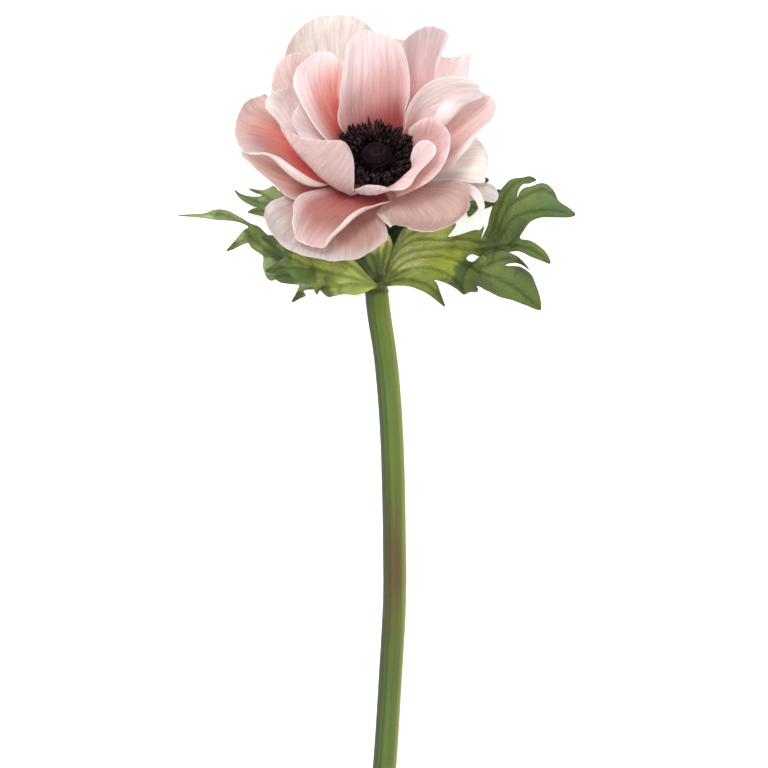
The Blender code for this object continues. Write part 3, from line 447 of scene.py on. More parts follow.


# Rims that roll over and show a broad pale lip, its paler outer face brightened with a painted highlight: which side of
# the petal, how broad, how strong, and whether a crisp painted shadow runs along its edge.
LIP = {
    "petal_bottom_front": ((0, 0.16, 0.9, 0), (1, 0.22, 0.55, 0)), "petal_left_outer": ((0, 0.17, 0.95, 1), (1, 0.16, 0.4, 0)),
    "petal_bottom_right": ((1, 0.10, 0.35, 0),), "petal_right_arch": ((1, 0.27, 0.95, 1),), "petal_left_fold": ((1, 0.38, 0.95, 0),),
    "petal_right_outer": ((0, 0.10, 0.5, 0), (1, 0.30, 0.8, 0)), "petal_left_upper": ((0, 0.22, 0.7, 0),),
    "petal_top_centre": ((0, 0.30, 0.35, 0),), "petal_upper_left": ((0, 0.36, 0.35, 0),),
}


HEART_AT = np.array(bloom_point(BLOOM_X, BLOOM_Y, 0))

# How ruffled each rim is against the rest.
RUFFLE = {
    "petal_bottom_right": 2.0, "petal_bottom_back": 1.7, "petal_bottom_front": 1.4, "petal_right_outer": 1.3, "petal_right_low_back": 1.5,
    "petal_tongue": 0.6, "petal_left_fold": 0.7, "petal_top_back": 1.1, "petal_front_small": 0.8,
}


def petal(name, net, number):
    nu, nv = (57, 73) if name != "petal_tongue" else (25, 61)
    g = np.array([[bloom_point(*p) for p in row] for row in net])
    us, vs = np.linspace(0, 1, nu), np.linspace(0, 1, nv)
    surf = np.einsum("rk,kcd->rcd", spline_weights(chord_knots(g, 0), vs), np.einsum("cj,kjd->kcd", spline_weights(chord_knots(g, 1), us), g))
    U, V = np.meshgrid(us, vs)
    du = np.linalg.norm(np.diff(surf, axis=1), axis=2).sum(1)
    dv = np.linalg.norm(np.diff(surf, axis=0), axis=2).sum(0)
    wide, long_ = float(np.median(du)) / MM, float(np.median(dv)) / MM
    edge = np.minimum(np.minimum(U, 1 - U) * np.maximum(du[:, None], 1e-6) / MM, (1 - V) * dv[None, :] / MM)
    n = normals_of(surf)
    # veins as shallow ribs, and a soft waviness that grows to the rim
    rib = noise2(U * wide * 0.55 + 7, V * 1.6, 100 + number) * 0.6 + noise2(U * wide * 1.1, V * 2.2 + 3, 140 + number) * 0.4
    wave = noise2(U * wide / 11.0 + 2, V * long_ / 13.0, 180 + number)
    ripple = noise2(U * wide / 4.6 + 31, V * long_ / 5.6 + 7, 200 + number)
    grow = smooth(0.25, 0.95, V)
    frill = noise2(U * wide / 3.1 + 17, V * long_ / 3.7 + 23, 340 + number)
    much = RUFFLE.get(name, 1.0)
    lift = 0.12 * rib * smooth(0.0, 0.5, edge) * smooth(0.05, 0.25, V) + (0.30 * wave + 0.12 * ripple) * grow * smooth(0.1, 0.4, V)
    lift = lift + much * (0.30 * ripple + 0.22 * frill) * (1 - smooth(0.3, 4.5, edge)) * smooth(0.25, 0.6, V)
    lift = lift * MM
    surf = surf + n * lift[..., None]
    # the rim is not cut with a ruler: small in-plane wobbles near the tip
    outward = np.gradient(surf, axis=0)
    outward /= np.maximum(np.linalg.norm(outward, axis=2, keepdims=True), 1e-12)
    wob = much * (0.30 * noise2(U * wide / 3.4 + 11, V * 0 + 4, 300 + number) + 0.17 * noise2(U * wide / 1.3 + 2, V * 0 + 8, 320 + number))
    surf = surf + outward * (wob * smooth(0.88, 1.0, V) * MM)[..., None]
    n = normals_of(surf)
    thick = (0.11 + 0.24 * smooth(0.0, 2.4, edge)) * MM
    top, bot = surf + n * thick[..., None] / 2, surf - n * thick[..., None] / 2
    # rim: one more row of points, pushed outwards so that the edge is round
    loop = [(0, j) for j in range(nu)] + [(i, nu - 1) for i in range(1, nv)] + [(nv - 1, j) for j in range(nu - 2, -1, -1)] + [(i, 0) for i in range(nv - 2, 0, -1)]
    mid = []
    for i, j in loop:
        ii, jj = min(max(i, 1), nv - 2), min(max(j, 1), nu - 2)
        o = surf[i, j] - surf[ii, jj]
        o = o - n[i, j] * np.dot(o, n[i, j])
        mid.append(surf[i, j] + o / max(np.linalg.norm(o), 1e-9) * thick[i, j] * 0.5)
    N = nu * nv
    verts = np.concatenate([top.reshape(-1, 3), bot.reshape(-1, 3), np.array(mid)])
    idx = np.arange(N).reshape(nv, nu)
    a, b, c, d = idx[:-1, :-1].ravel(), idx[:-1, 1:].ravel(), idx[1:, 1:].ravel(), idx[1:, :-1].ravel()
    faces = np.concatenate([np.stack([a, b, c, d], 1), np.stack([a, d, c, b], 1) + N])
    L = len(loop)
    la = np.array([idx[i, j] for i, j in loop])
    lb = np.roll(la, -1)
    m0 = 2 * N + np.arange(L)
    m1 = np.roll(m0, -1)
    rim = np.concatenate([np.stack([la, m0, m1, lb], 1), np.stack([la + N, lb + N, m1, m0], 1)])
    ob = new_mesh(name + "_sheet", verts, np.concatenate([faces, rim]))
    base, middle, tip, edge_c, r0, r1, lean, outer = LOOK[name]
    base, middle, tip, edge_c, outer = (lin(*c) for c in (base, middle, tip, edge_c, outer))
    vv = V + lean * (U - 0.5) + 0.05 * noise2(U * 5, V * 2, 220 + number)
    streak = noise2(U * wide * 0.9, V * 1.5 + 9, 260 + number)
    vv = vv + 0.035 * streak
    col = mix(base, middle, smooth(r0[0], r0[1], vv))
    col = mix(col, tip, smooth(r1[0], r1[1], vv) * 0.9)
    side = np.minimum(U, 1 - U)
    col = mix(col, edge_c, (1 - smooth(0.0, 0.17, side)) * smooth(0.2, 0.7, V) * 0.5)
    # a narrow band along the rim is brightened to the rim tone: partly the petal's paler rim, partly a painted edge
    # highlight
    patchy = 0.30 + 0.70 * smooth(-0.35, 0.35, noise2(U * wide / 8.0 + 3, V * long_ / 8.0 + 61, 360 + number))
    col = mix(col, edge_c, (1 - smooth(0.12, 0.8, edge)) * smooth(0.1, 0.4, V) * 0.95 * patchy)
    pale = np.zeros_like(U)
    for which, broad, strong, crisp in LIP.get(name, ()):
        off = (U if which == 0 else 1 - U) + 0.02 * noise2(V * 9, U * 0 + 2, 280 + number)
        near = (1 - smooth(broad * (0.80 if crisp else 0.35), broad, off)) * smooth(0.22, 0.5, V) * strong
        if crisp:
            # a crisp painted shadow just beyond the rolled lip's edge
            col = col * (1 - 0.20 * np.exp(-np.maximum(off - broad, 0) / 0.05) * (off > broad * 0.9) * smooth(0.3, 0.5, V))[..., None]
        pale = np.maximum(pale, near)
    # the lip: near white, partly the rolled rim's paler outer face, partly painted highlight
    col = mix(col, lin(253, 244, 242), pale)
    # the throat: darker near the stamens' feet
    feet = (surf - HEART_AT) @ np.array([AXIS[0], AXIS[1], AXIS[2]])
    reach = np.linalg.norm((surf - HEART_AT) - feet[..., None] * np.array([AXIS[0], AXIS[1], AXIS[2]]), axis=2) / MM
    low = name in ("petal_bottom_front", "petal_bottom_right", "petal_bottom_back", "petal_left_back", "petal_right_back", "petal_right_low_back", "petal_tongue")
    throat_dark = 1 - smooth(5.5 if low else 9.2, 7.5 if low else 11.8, reach + 0.6 * streak)
    col = np.clip(col * np.array([1.03, 1.088, 1.095]), 0, 0.965)
    outer = np.clip(np.array(outer) * np.array([1.04, 1.05, 1.055]), 0, 0.965)
    col = mix(col, lin(52, 16, 22), throat_dark * 0.93)
    flat = col.reshape(-1, 3)
    back = mix(flat, outer, (smooth(0.05, 0.5, V + 0.06 * streak) * 0.85 * (1 - throat_dark)).ravel())
    back = mix(back, outer, throat_dark.ravel())
    # the same painted highlight on the lip's outer face
    back = mix(back, lin(253, 246, 244), (pale * 0.9).ravel())
    if name == "petal_left_fold":
        # painted light: the fold's outer face brightened towards its tip, where it lies in shade
        back = mix(back, lin(255, 238, 236), (smooth(0.40, 0.80, U) * smooth(0.45, 0.85, V) * 0.85).ravel())
        # painted pink reflection and shade near the fold's low edge, towards its base
        back = mix(back, lin(190, 150, 146), ((1 - smooth(0.10, 0.40, U)) * (1 - smooth(0.55, 0.9, V)) * 0.5).ravel())
    paint(ob, "tint", np.concatenate([flat, back, flat[la]]))
    uv = np.stack([U * wide / 30.0, V * long_ / 30.0], 2).reshape(-1, 2) + number * 0.731
    lay_uv(ob, np.concatenate([uv, uv, uv[la]]))
    ob.data.materials.append(INNER_FACE)
    ob.data.materials.append(OUTER_FACE)
    slots = np.zeros(len(ob.data.polygons), np.int32)
    slots[len(a):2 * len(a)] = 1
    ob.data.polygons.foreach_set("material_index", slots)
    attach(ob, "root")
    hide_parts(name)
    return ob


for number, (key, net) in enumerate(PETALS.items()):
    petal(key, net, number)


# ---------------------------------------------------------------- centre

TURN = Vector((0, 0, 1)).rotation_difference(AXIS).to_matrix()
HEART = Vector(bloom_point(BLOOM_X, BLOOM_Y, 0))
TURN_NP = np.array(TURN)
HEART_NP = np.array(HEART)


def bloom_local(p):
    """Points given in mm about the bloom's axis, as metres in the part's frame."""
    return HEART_NP + (np.asarray(p) * MM) @ TURN_NP.T


def dark_material(name, grain_scale, bump, rough, spec):
    """Near-black tissue: painted tone, mottled, with a fine grain that catches the light."""
    m, nt, b, out = nodes_of(name)
    base = add(nt, "ShaderNodeVertexColor", layer_name="tint").outputs[0]
    big = noise(nt, mapped_uv(nt, 14.0, 14.0), 1.0, 3.0, 0.6)
    small = noise(nt, mapped_uv(nt, grain_scale, grain_scale), 1.0, 3.0, 0.65)
    f = math_node(nt, "MULTIPLY", spread(nt, big, 0.7, 1.35), spread(nt, small, 0.75, 1.3))
    nt.links.new(scaled(nt, base, f), b.inputs["Base Color"])
    nt.links.new(spread(nt, small, rough + 0.12, rough - 0.14), b.inputs["Roughness"])
    b.inputs["Specular IOR Level"].default_value = spec
    bp = add(nt, "ShaderNodeBump")
    bp.inputs["Strength"].default_value = bump
    bp.inputs["Distance"].default_value = 0.00018
    nt.links.new(small, bp.inputs["Height"])
    nt.links.new(bp.outputs[0], b.inputs["Normal"])
    return m


ANTHER = dark_material("anther", 160.0, 0.6, 0.46, 0.16)
DOME = dark_material("pistil_dome", 150.0, 0.5, 0.62, 0.06)


def pistil():
    nu, nv = 192, 120
    rng = np.random.default_rng(11)
    seeds = []
    count = 520
    for k in range(count):
        z = 1 - 1.72 * (k + 0.5) / count
        a = k * math.pi * (3 - math.sqrt(5))
        s = math.sqrt(max(0.0, 1 - z * z))
        seeds.append((s * math.cos(a), s * math.sin(a), z))
    seeds = np.array(seeds) + rng.normal(0, 0.008, (count, 3))
    seeds /= np.linalg.norm(seeds, axis=1, keepdims=True)
    a = np.linspace(0, 2 * math.pi, nu, endpoint=False)
    p = np.linspace(0, math.pi, nv + 2)[1:-1]
    A, Pp = np.meshgrid(a, p)
    unit = np.stack([np.sin(Pp) * np.cos(A), np.sin(Pp) * np.sin(A), np.cos(Pp)], 2).reshape(-1, 3)
    unit = np.concatenate([unit, [[0, 0, 1], [0, 0, -1]]])
    near = np.sort(np.arccos(np.clip(unit @ seeds.T, -1, 1)), axis=1)[:, :2]
    size = math.sqrt(4 * math.pi * 0.86 / count) / 2
    bump = np.clip(1 - (near[:, 0] / (size * 1.12)) ** 2, 0, 1) ** 0.6
    bump = bump * (unit[:, 2] > -0.75)
    az = np.arctan2(unit[:, 1], unit[:, 0])
    low = smooth(0.55, -0.15, unit[:, 2])
    fold = noise2(az / (2 * math.pi) * 26 + 32, unit[:, 2] * 1.5 + 3, 401) * low
    wrinkle = noise2(az / (2 * math.pi) * 5 + 7, unit[:, 2] * 15 + 20, 403) * smooth(-0.1, 0.4, unit[:, 2]) * (1 - smooth(0.93, 1.0, unit[:, 2]))
    sway = noise2(unit[:, 0] * 2.1 + 9, unit[:, 1] * 2.1 + unit[:, 2] * 1.3 + 9, 402)
    r = 1 + 0.022 * bump + 0.090 * fold + 0.022 * wrinkle + 0.03 * sway
    pts = unit * r[:, None]
    pts = np.stack([pts[:, 0] * 5.55 - 0.3, pts[:, 1] * 5.45 + 0.2, pts[:, 2] * 5.1 + 4.9], 1)
    n = nu * nv
    idx = np.arange(n).reshape(nv, nu)
    nxt = np.roll(idx, -1, axis=1)
    faces = [tuple(f) for f in np.stack([idx[:-1].ravel(), idx[1:].ravel(), nxt[1:].ravel(), nxt[:-1].ravel()], 1)]
    faces += [(n, idx[0, j], nxt[0, j]) for j in range(nu)]
    faces += [(n + 1, nxt[-1, j], idx[-1, j]) for j in range(nu)]
    ob = new_mesh("pistil_dome", bloom_local(pts), faces)
    # painted light and shade on the dark knob: bump tops lighter towards the top, the lower dome darker among the
    # stamens, ridges of folds and wrinkles lighter and their grooves darker
    col = mix(lin(5, 2, 4), lin(30, 13, 21), bump * (0.45 + 0.55 * smooth(-0.2, 0.8, unit[:, 2])))
    col = mix(col, lin(12, 6, 9), low * 0.55)
    col = mix(col, lin(52, 27, 38), np.clip(fold * 1.3, 0, 1) * 0.9)
    col = mix(col, lin(52, 28, 40), np.clip(wrinkle, 0, 1) * 0.8)
    col = mix(col, lin(3, 1, 2), np.clip(-fold - 0.6 * wrinkle, 0, 1) * 0.85)
    paint(ob, "tint", col)
    lay_uv(ob, np.stack([az * 5.5 / 30.0, (1 - unit[:, 2]) * 5.2 / 30.0], 1) + 3.1)
    ob.data.materials.append(DOME)
    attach(ob, "root")
    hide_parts("pistil")


def lathe_path(path, radii, flat, sides, rng_turn):
    """A closed body round a path: an oval of the given radii, flattened one way."""
    path = np.asarray(path, float)
    tang = np.gradient(path, axis=0)
    tang /= np.linalg.norm(tang, axis=1, keepdims=True)
    up = np.array([math.cos(rng_turn), math.sin(rng_turn), 0.3])
    x = np.cross(tang, up)
    x /= np.maximum(np.linalg.norm(x, axis=1, keepdims=True), 1e-9)
    y = np.cross(tang, x)
    a = np.linspace(0, 2 * math.pi, sides, endpoint=False)
    body = path[1:-1, None, :] + radii[1:-1, None, None] * (np.cos(a)[None, :, None] * x[1:-1, None, :] + np.sin(a)[None, :, None] * y[1:-1, None, :] * flat)
    k = len(path) - 2
    verts = np.concatenate([body.reshape(-1, 3), path[:1], path[-1:]])
    idx = np.arange(k * sides).reshape(k, sides)
    nxt = np.roll(idx, -1, axis=1)
    faces = [tuple(f) for f in np.stack([idx[:-1].ravel(), nxt[:-1].ravel(), nxt[1:].ravel(), idx[1:].ravel()], 1)]
    faces += [(k * sides, nxt[0, j], idx[0, j]) for j in range(sides)]
    faces += [(k * sides + 1, idx[-1, j], nxt[-1, j]) for j in range(sides)]
    return verts, faces


def stamens():
    rng = np.random.default_rng(77)
    verts, faces, cols, uvs = [], [], [], []
    total = 0

    def put(v, f, c, uv):
        nonlocal total
        verts.append(v)
        faces.extend([tuple(i + total for i in q) for q in f])
        cols.append(c)
        uvs.append(uv)
        total += len(v)

    # rows from the inside out: how many, distance from the axis, height of the tip, length of the anther
    rows = [(40, 6.6, 3.2, 1.9), (44, 6.8, 5.2, 2.1), (46, 7.7, 6.9, 2.4), (50, 8.9, 4.6, 2.4), (52, 8.8, 7.9, 2.7), (56, 10.2, 6.0, 2.6),
            (56, 9.9, 8.7, 2.9), (56, 10.9, 9.2, 3.0), (56, 11.4, 7.4, 2.8), (50, 11.8, 9.3, 3.1), (44, 12.4, 8.2, 2.9)]
    golden = 0.0
    rows = [row + (0.0, 2 * math.pi) for row in rows] + [(13, 12.9, 6.8, 2.9, 2.15, 2.95), (9, 13.8, 7.6, 2.6, 2.25, 2.85)]
    for r, (n, rho, h, size, first, sweep) in enumerate(rows):
        sweep = sweep - first
        golden += 0.41
        for k in range(n):
            a = first + sweep * (k + golden * (r < 11) + rng.uniform(-0.34, 0.34)) / n
            rr = rho + rng.normal(0, 0.38)
            hh = h + rng.normal(0, 0.62) + 0.4 * math.sin(a * 3 + 1)
            foot = np.array([6.15 * math.cos(a - 0.03), 6.15 * math.sin(a - 0.03), 0.3 + 0.17 * r])
            twist = a + rng.normal(0, 0.085)
            head = np.array([rr * math.cos(twist), rr * math.sin(twist), hh])
            out = np.array([math.cos(a), math.sin(a), 0.0])
            lean = out * rng.normal(0.45 + 0.05 * r, 0.40) + np.array([0, 0, 1.0]) + rng.normal(0, 0.42, 3) * np.array([1, 1, 0.3])
            lean /= np.linalg.norm(lean)
            size_k = size * rng.uniform(0.78, 1.22)
            low = head - lean * size_k * 0.62
            t = np.linspace(0, 1, 9)[:, None]
            bend = foot + out * (0.4 + 0.16 * r) + np.array([0, 0, 0.55 * hh])
            path = (1 - t) ** 2 * foot + 2 * t * (1 - t) * bend + t * t * (low + lean * 0.25)
            rad = np.full(9, 0.20)
            rad[0] = 0.22
            v, f = lathe_path(path, rad, 1.0, 6, a)
            tone = rng.uniform(0.6, 1.3)
            c = np.tile(lin(20, 12, 17) * tone, (len(v), 1))
            put(v, f, c, np.stack([np.full(len(v), a), v[:, 2] / 30.0], 1))
            # anther: a pointed, slightly bent and flattened pod
            s = np.linspace(0, 1, 9)
            side = np.cross(lean, out)
            curl = rng.normal(0, 0.14)
            curve = low + lean * (s[:, None] * size_k) + side * (np.sin(s * math.pi) * curl)[:, None] + out * (np.sin(s * math.pi * 0.8) * rng.normal(0.12, 0.1))[:, None]
            width = rng.uniform(0.50, 0.78) * (size / 2.6)
            prof = np.array([0.0, 0.58, 0.88, 1.0, 0.98, 0.84, 0.6, 0.3, 0.0]) * width
            v, f = lathe_path(curve, prof, rng.uniform(0.42, 0.62), 8, a + rng.normal(math.pi / 2, 0.7))
            tone = rng.uniform(0.5, 1.0)
            black, brown = lin(9, 5, 7), lin(54, 34, 38)
            c = np.tile(mix(black, brown, np.array(tone ** 3)), (len(v), 1))
            # a painted glint: the anther's tip point is lightened
            c[-1] = c[-1] * 1.7
            put(v, f, c, np.stack([v[:, 0] / 30.0 + k, v[:, 2] / 30.0 + r], 1))
    # the bed that they all grow from closes the throat
    bu, bv = 120, 14
    A, T = np.meshgrid(np.linspace(0, 2 * math.pi, bu, endpoint=False), np.linspace(0, 2 * math.pi, bv, endpoint=False))
    rho = 4.7 + 2.0 * np.cos(T) + 0.12 * noise2(A * 9, T * 2, 430)
    hh = 0.9 + 0.75 * np.sin(T) + 0.14 * noise2(A * 11, T * 2 + 3, 431) * (np.sin(T) > 0)
    v = np.stack([rho * np.cos(A), rho * np.sin(A), hh], 2).reshape(-1, 3)
    idx = np.arange(bu * bv).reshape(bv, bu)
    f = np.stack([idx.ravel(), np.roll(idx, -1, 1).ravel(), np.roll(np.roll(idx, -1, 1), -1, 0).ravel(), np.roll(idx, -1, 0).ravel()], 1).tolist()
    put(v, f, np.tile(lin(14, 8, 11), (len(v), 1)), np.stack([A.ravel(), T.ravel() / 6], 1))
    ob = new_mesh("stamen_crown", bloom_local(np.concatenate(verts)), faces)
    paint(ob, "tint", np.concatenate(cols))
    lay_uv(ob, np.concatenate(uvs))
    ob.data.materials.append(ANTHER)
    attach(ob, "root")
    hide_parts("stamens")


pistil()
stamens()


# ---------------------------------------------------------------- stem

def stem_material():
    m, nt, b, out = nodes_of("stem_skin")
    base = add(nt, "ShaderNodeVertexColor", layer_name="tint").outputs[0]
    rib = noise(nt, mapped_uv(nt, 46.0, 0.55), 1.0, 3.0, 0.6)
    hair = noise(nt, mapped_uv(nt, 120.0, 2.4), 1.0, 2.0, 0.6)
    fuzz = noise(nt, mapped_uv(nt, 75.0, 60.0), 1.0, 3.0, 0.75)
    blot = noise(nt, mapped_uv(nt, 5.0, 1.6), 1.0, 3.0, 0.6)
    f = math_node(nt, "MULTIPLY", spread(nt, rib, 0.84, 1.14), spread(nt, hair, 0.93, 1.06))
    f = math_node(nt, "MULTIPLY", f, spread(nt, fuzz, 0.90, 1.11))
    f = math_node(nt, "MULTIPLY", f, spread(nt, blot, 0.94, 1.06))
    nt.links.new(scaled(nt, base, f), b.inputs["Base Color"])
    nt.links.new(spread(nt, fuzz, 0.68, 0.5), b.inputs["Roughness"])
    b.inputs["Specular IOR Level"].default_value = 0.3
    b.inputs["Sheen Weight"].default_value = 0.05
    b.inputs["Sheen Roughness"].default_value = 0.45
    hgt = math_node(nt, "ADD", math_node(nt, "MULTIPLY", rib, 1.3), math_node(nt, "ADD", math_node(nt, "MULTIPLY", hair, 0.5), math_node(nt, "MULTIPLY", fuzz, 0.45)))
    bp = add(nt, "ShaderNodeBump")
    bp.inputs["Strength"].default_value = 0.5
    bp.inputs["Distance"].default_value = 0.0003
    nt.links.new(hgt, bp.inputs["Height"])
    nt.links.new(bp.outputs[0], b.inputs["Normal"])
    return m


STEM = [(370, 914, -84.3), (384.5, 768, -78.3), (389, 700, -74.0), (392, 650, -70.5), (394.5, 600, -67.0), (394.5, 550, -63.5),
        (393.7, 500, -60.0), (392.3, 450, -56.5), (389.5, 400, -52.5), (384.5, 350, -48.5), (377.3, 300, -45.0)]
PEDICEL = [(376.3, 286, -44.5), (376, 262, -45.5), (376.2, 235, -43.5), (376.6, 210, -38.0)]


def stem():
    knots = [(np.array(sheet_point(*p)), 3.88) for p in STEM]
    knots += [(np.array(sheet_point(*p)), r) for p, r in zip(PEDICEL, (3.6, 2.75, 2.7, 2.7))]
    knots += [(np.array(HEART + AXIS * h * MM), r) for h, r in ((-8.0, 2.8), (-5.6, 3.3), (-4.4, 4.6), (-3.2, 5.3), (-0.6, 5.4))]
    pts = np.array([k[0] for k in knots])
    rad = np.array([k[1] for k in knots])
    s = np.concatenate([[0.0], np.cumsum(np.linalg.norm(np.diff(pts, axis=0), axis=1))])
    at = np.concatenate([np.linspace(0, s[10], 360, endpoint=False), np.linspace(s[10], s[-1], 110)])
    line = spline_weights(s, at) @ pts
    r = np.interp(at, s, rad)
    nu = 88
    tang = np.gradient(line, axis=0)
    tang /= np.linalg.norm(tang, axis=1, keepdims=True)
    # the reference direction starts as the sheet's up and is carried along the stem
    ref = np.array([0.0, 0.0, 1.0])
    xs = []
    for t in tang:
        ref = ref - t * np.dot(ref, t)
        ref /= np.linalg.norm(ref)
        xs.append(ref.copy())
    up = np.array(xs)
    right = np.cross(tang, up)
    a = np.linspace(0, 2 * math.pi, nu, endpoint=False)
    A, S = np.meshgrid(a, at / MM)
    across = np.sin(A)
    # ribs: fixed round the stem, wandering slowly along it, and one deeper groove on the upper left
    turn = A / (2 * math.pi)
    rib = 0.5 * np.cos(A * 11 + 0.8 * noise2(turn * 0 + S / 60.0, turn * 0 + 2, 501) + 0.6 * np.sin(A * 2)) + 0.35 * np.cos(A * 23 + 2.0 + 0.7 * np.sin(A * 3 + 1)) + 0.15 * np.cos(A * 41)
    groove = np.exp(-(((A - math.radians(-23) + math.pi) % (2 * math.pi) - math.pi) / 0.13) ** 2)
    groove2 = np.exp(-(((A - math.radians(38) + math.pi) % (2 * math.pi) - math.pi) / 0.12) ** 2)
    groove3 = np.exp(-(((A - math.radians(-62) + math.pi) % (2 * math.pi) - math.pi) / 0.10) ** 2)
    slow = noise2(np.cos(A) * 1.3 + 9, S / 9.0, 503) * 0.6 + noise2(np.sin(A) * 1.7 + 9, S / 4.0 + 5, 504) * 0.4
    calm = smooth(-0.5, 3.0, S) * (1 - smooth(at[-1] / MM - 4.0, at[-1] / MM - 1.0, S))
    R = r[:, None] + calm * (0.075 * rib - 0.30 * groove - 0.12 * groove2 - 0.14 * groove3 + 0.05 * slow)
    # the cut end is pinched a little; the collar under the leaves is rough
    at_y = SHEET_Y - line[:, 1] / SHEET
    collar = np.exp(-((at_y - 291.0) / 3.0) ** 2)[:, None]
    R = R + collar * (0.16 + 0.22 * noise2(turn * 19 + 3, S / 1.4, 505))
    body = line[:, None, :] + (R * MM)[..., None] * (np.cos(A)[..., None] * up[:, None, :] + np.sin(A)[..., None] * right[:, None, :])
    nv = len(at)
    idx = np.arange(nu * nv).reshape(nv, nu)
    nxt = np.roll(idx, -1, axis=1)
    faces = [tuple(f) for f in np.stack([idx[:-1].ravel(), idx[1:].ravel(), nxt[1:].ravel(), nxt[:-1].ravel()], 1)]
    verts = [body.reshape(-1, 3)]
    # ends: rings that close in, the cut one showing a pale hollow pith
    n = nu * nv
    rings_low = []
    cut = [(0.93, -0.10), (0.80, -0.12), (0.62, 0.0), (0.45, 0.28), (0.28, 0.62), (0.12, 0.8)]
    prev = idx[0]
    for f, d in cut:
        ringp = line[0] + (body[0] - line[0]) * f + tang[0] * d * MM
        ids = n + np.arange(nu)
        verts.append(ringp)
        faces += [tuple(q) for q in np.stack([prev, np.roll(prev, -1), np.roll(ids, -1), ids], 1)]
        prev = ids
        n += nu
        rings_low.append(f)
    verts.append((line[0] + tang[0] * 0.85 * MM)[None])
    faces += [(int(prev[j]), int(prev[(j + 1) % nu]), n) for j in range(nu)]
    low_tip = n
    n += 1
    prev = idx[-1]
    for f, d in ((0.9, 0.2), (0.6, 0.35), (0.3, 0.4)):
        ringp = line[-1] + (body[-1] - line[-1]) * f + tang[-1] * d * MM
        ids = n + np.arange(nu)
        verts.append(ringp)
        faces += [tuple(q) for q in np.stack([np.roll(prev, -1), prev, ids, np.roll(ids, -1)], 1)]
        prev = ids
        n += nu
    verts.append((line[-1] + tang[-1] * 0.42 * MM)[None])
    faces += [(int(prev[(j + 1) % nu]), int(prev[j]), n) for j in range(nu)]
    n += 1
    verts = np.concatenate(verts)
    ob = new_mesh("stem_skin_mesh", verts, faces)
    # colour: green, a brown-purple band on the upper side; a lighter, yellower right edge and a darker left side,
    # painted light and shade; darker grooves, painted shade
    Y = np.repeat(at_y[:, None], nu, 1)
    green = mix(lin(114, 136, 60), lin(100, 122, 55), smooth(310, 380, Y))
    green = mix(green, lin(98, 118, 58), smooth(620, 720, Y))
    wob = noise2(across * 2 + 5, Y / 22.0, 510)
    band = np.exp(-(((Y - 566) + 10 * wob) / 66.0) ** 2) * smooth(-0.98, -0.6, across) * (1 - smooth(0.50, 0.86, across))
    col = mix(green, lin(102, 80, 54), np.clip(band * 0.92, 0, 1))
    # painted light on the right edge
    col = mix(col, lin(142, 152, 74), smooth(0.40, 0.95, across) * 0.75)
    # painted shade on the left side
    col = mix(col, lin(62, 76, 40), smooth(-0.35, -0.9, across) * 0.8)
    # painted shade in the grooves
    col = mix(col, lin(52, 76, 38), np.clip(groove * 0.62 + groove2 * 0.22 + groove3 * 0.25, 0, 1))
    under = smooth(-0.2, -0.8, np.cos(A))
    col = mix(col, lin(150, 163, 104), under * 0.5)
    # painted shade on the collar under the leaves
    col = mix(col, lin(58, 66, 34), np.clip(collar * (0.75 + 0.35 * noise2(turn * 23, S / 1.2, 511)), 0, 1))
    head = smooth(at[-1] / MM - 9.0, at[-1] / MM - 3.0, S)
    col = mix(col, lin(120, 120, 74), head * 0.6)
    # the left side is darkened again here: painted shade
    col = col * (np.array([0.74, 0.74, 0.58])) * (1 - 0.38 * smooth(-0.40, -0.85, across))[..., None] * (1 - 0.14 * smooth(620, 640, Y) * (1 - smooth(680, 720, Y)))[..., None]
    cols = [col.reshape(-1, 3)]
    for f in rings_low:
        cols.append(np.tile(mix(lin(196, 200, 150), lin(116, 134, 72), np.array(smooth(0.55, 0.98, f))), (nu, 1)))
    cols.append(lin(226, 224, 190)[None])
    cols.append(np.tile(lin(90, 96, 60), (nu * 3 + 1, 1)))
    paint(ob, "tint", np.concatenate(cols))
    uv = np.stack([A * 3.9 / 30.0, S / 30.0], 2)
    # the seam sits underneath, where the two halves of the map meet as mirror images
    uv[..., 0] = np.abs(((A - math.pi) % (2 * math.pi)) - math.pi) * 3.9 / 30.0 + (np.sin(A) > 0) * 0.0
    flat = uv.reshape(-1, 2)
    ends = np.tile(flat[:nu], (len(rings_low), 1)) * np.repeat(np.array(rings_low), nu)[:, None]
    tops = np.tile(flat[-nu:], (3, 1))
    lay_uv(ob, np.concatenate([flat, ends, flat[:1], tops, flat[-1:]]) + 0.37)
    ob.data.materials.append(stem_material())
    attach(ob, "root")
    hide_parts("stem")


stem()


# ---------------------------------------------------------------- leaves

def thin_plate(sites, values):
    s = np.asarray(sites, float)
    n = len(s)

    def kernel(a, b):
        r2 = ((a[:, None, :] - b[None, :, :]) ** 2).sum(2)
        return 0.5 * r2 * np.log(r2 + 1e-9)

    m = np.zeros((n + 3, n + 3))
    m[:n, :n] = kernel(s, s) + np.eye(n) * 2.0
    m[:n, n] = m[n, :n] = 1.0
    m[:n, n + 1:] = s
    m[n + 1:, :n] = s.T
    w = np.linalg.solve(m, np.vstack([np.asarray(values, float), np.zeros((3, 3))]))

    def at(q):
        q = np.asarray(q, float)
        return kernel(q, s) @ w[:n] + w[n] + q @ w[n + 1:]

    return at


def to_segments(q, a, b):
    """Distance of each point from its nearest segment."""
    best = np.full(len(q), 1e9)
    for i in range(len(a)):
        d = b[i] - a[i]
        t = np.clip(((q - a[i]) @ d) / max(float(d @ d), 1e-12), 0, 1)
        best = np.minimum(best, np.linalg.norm(q - a[i] - t[:, None] * d, axis=1))
    return best


def inside(q, ring_points):
    hit = np.zeros(len(q), bool)
    p, r = ring_points, np.roll(ring_points, -1, axis=0)
    for (x0, y0), (x1, y1) in zip(p, r):
        if y0 == y1:
            continue
        cross = ((y0 > q[:, 1]) != (y1 > q[:, 1])) & (q[:, 0] < x0 + (q[:, 1] - y0) * (x1 - x0) / (y1 - y0))
        hit ^= cross
    return hit


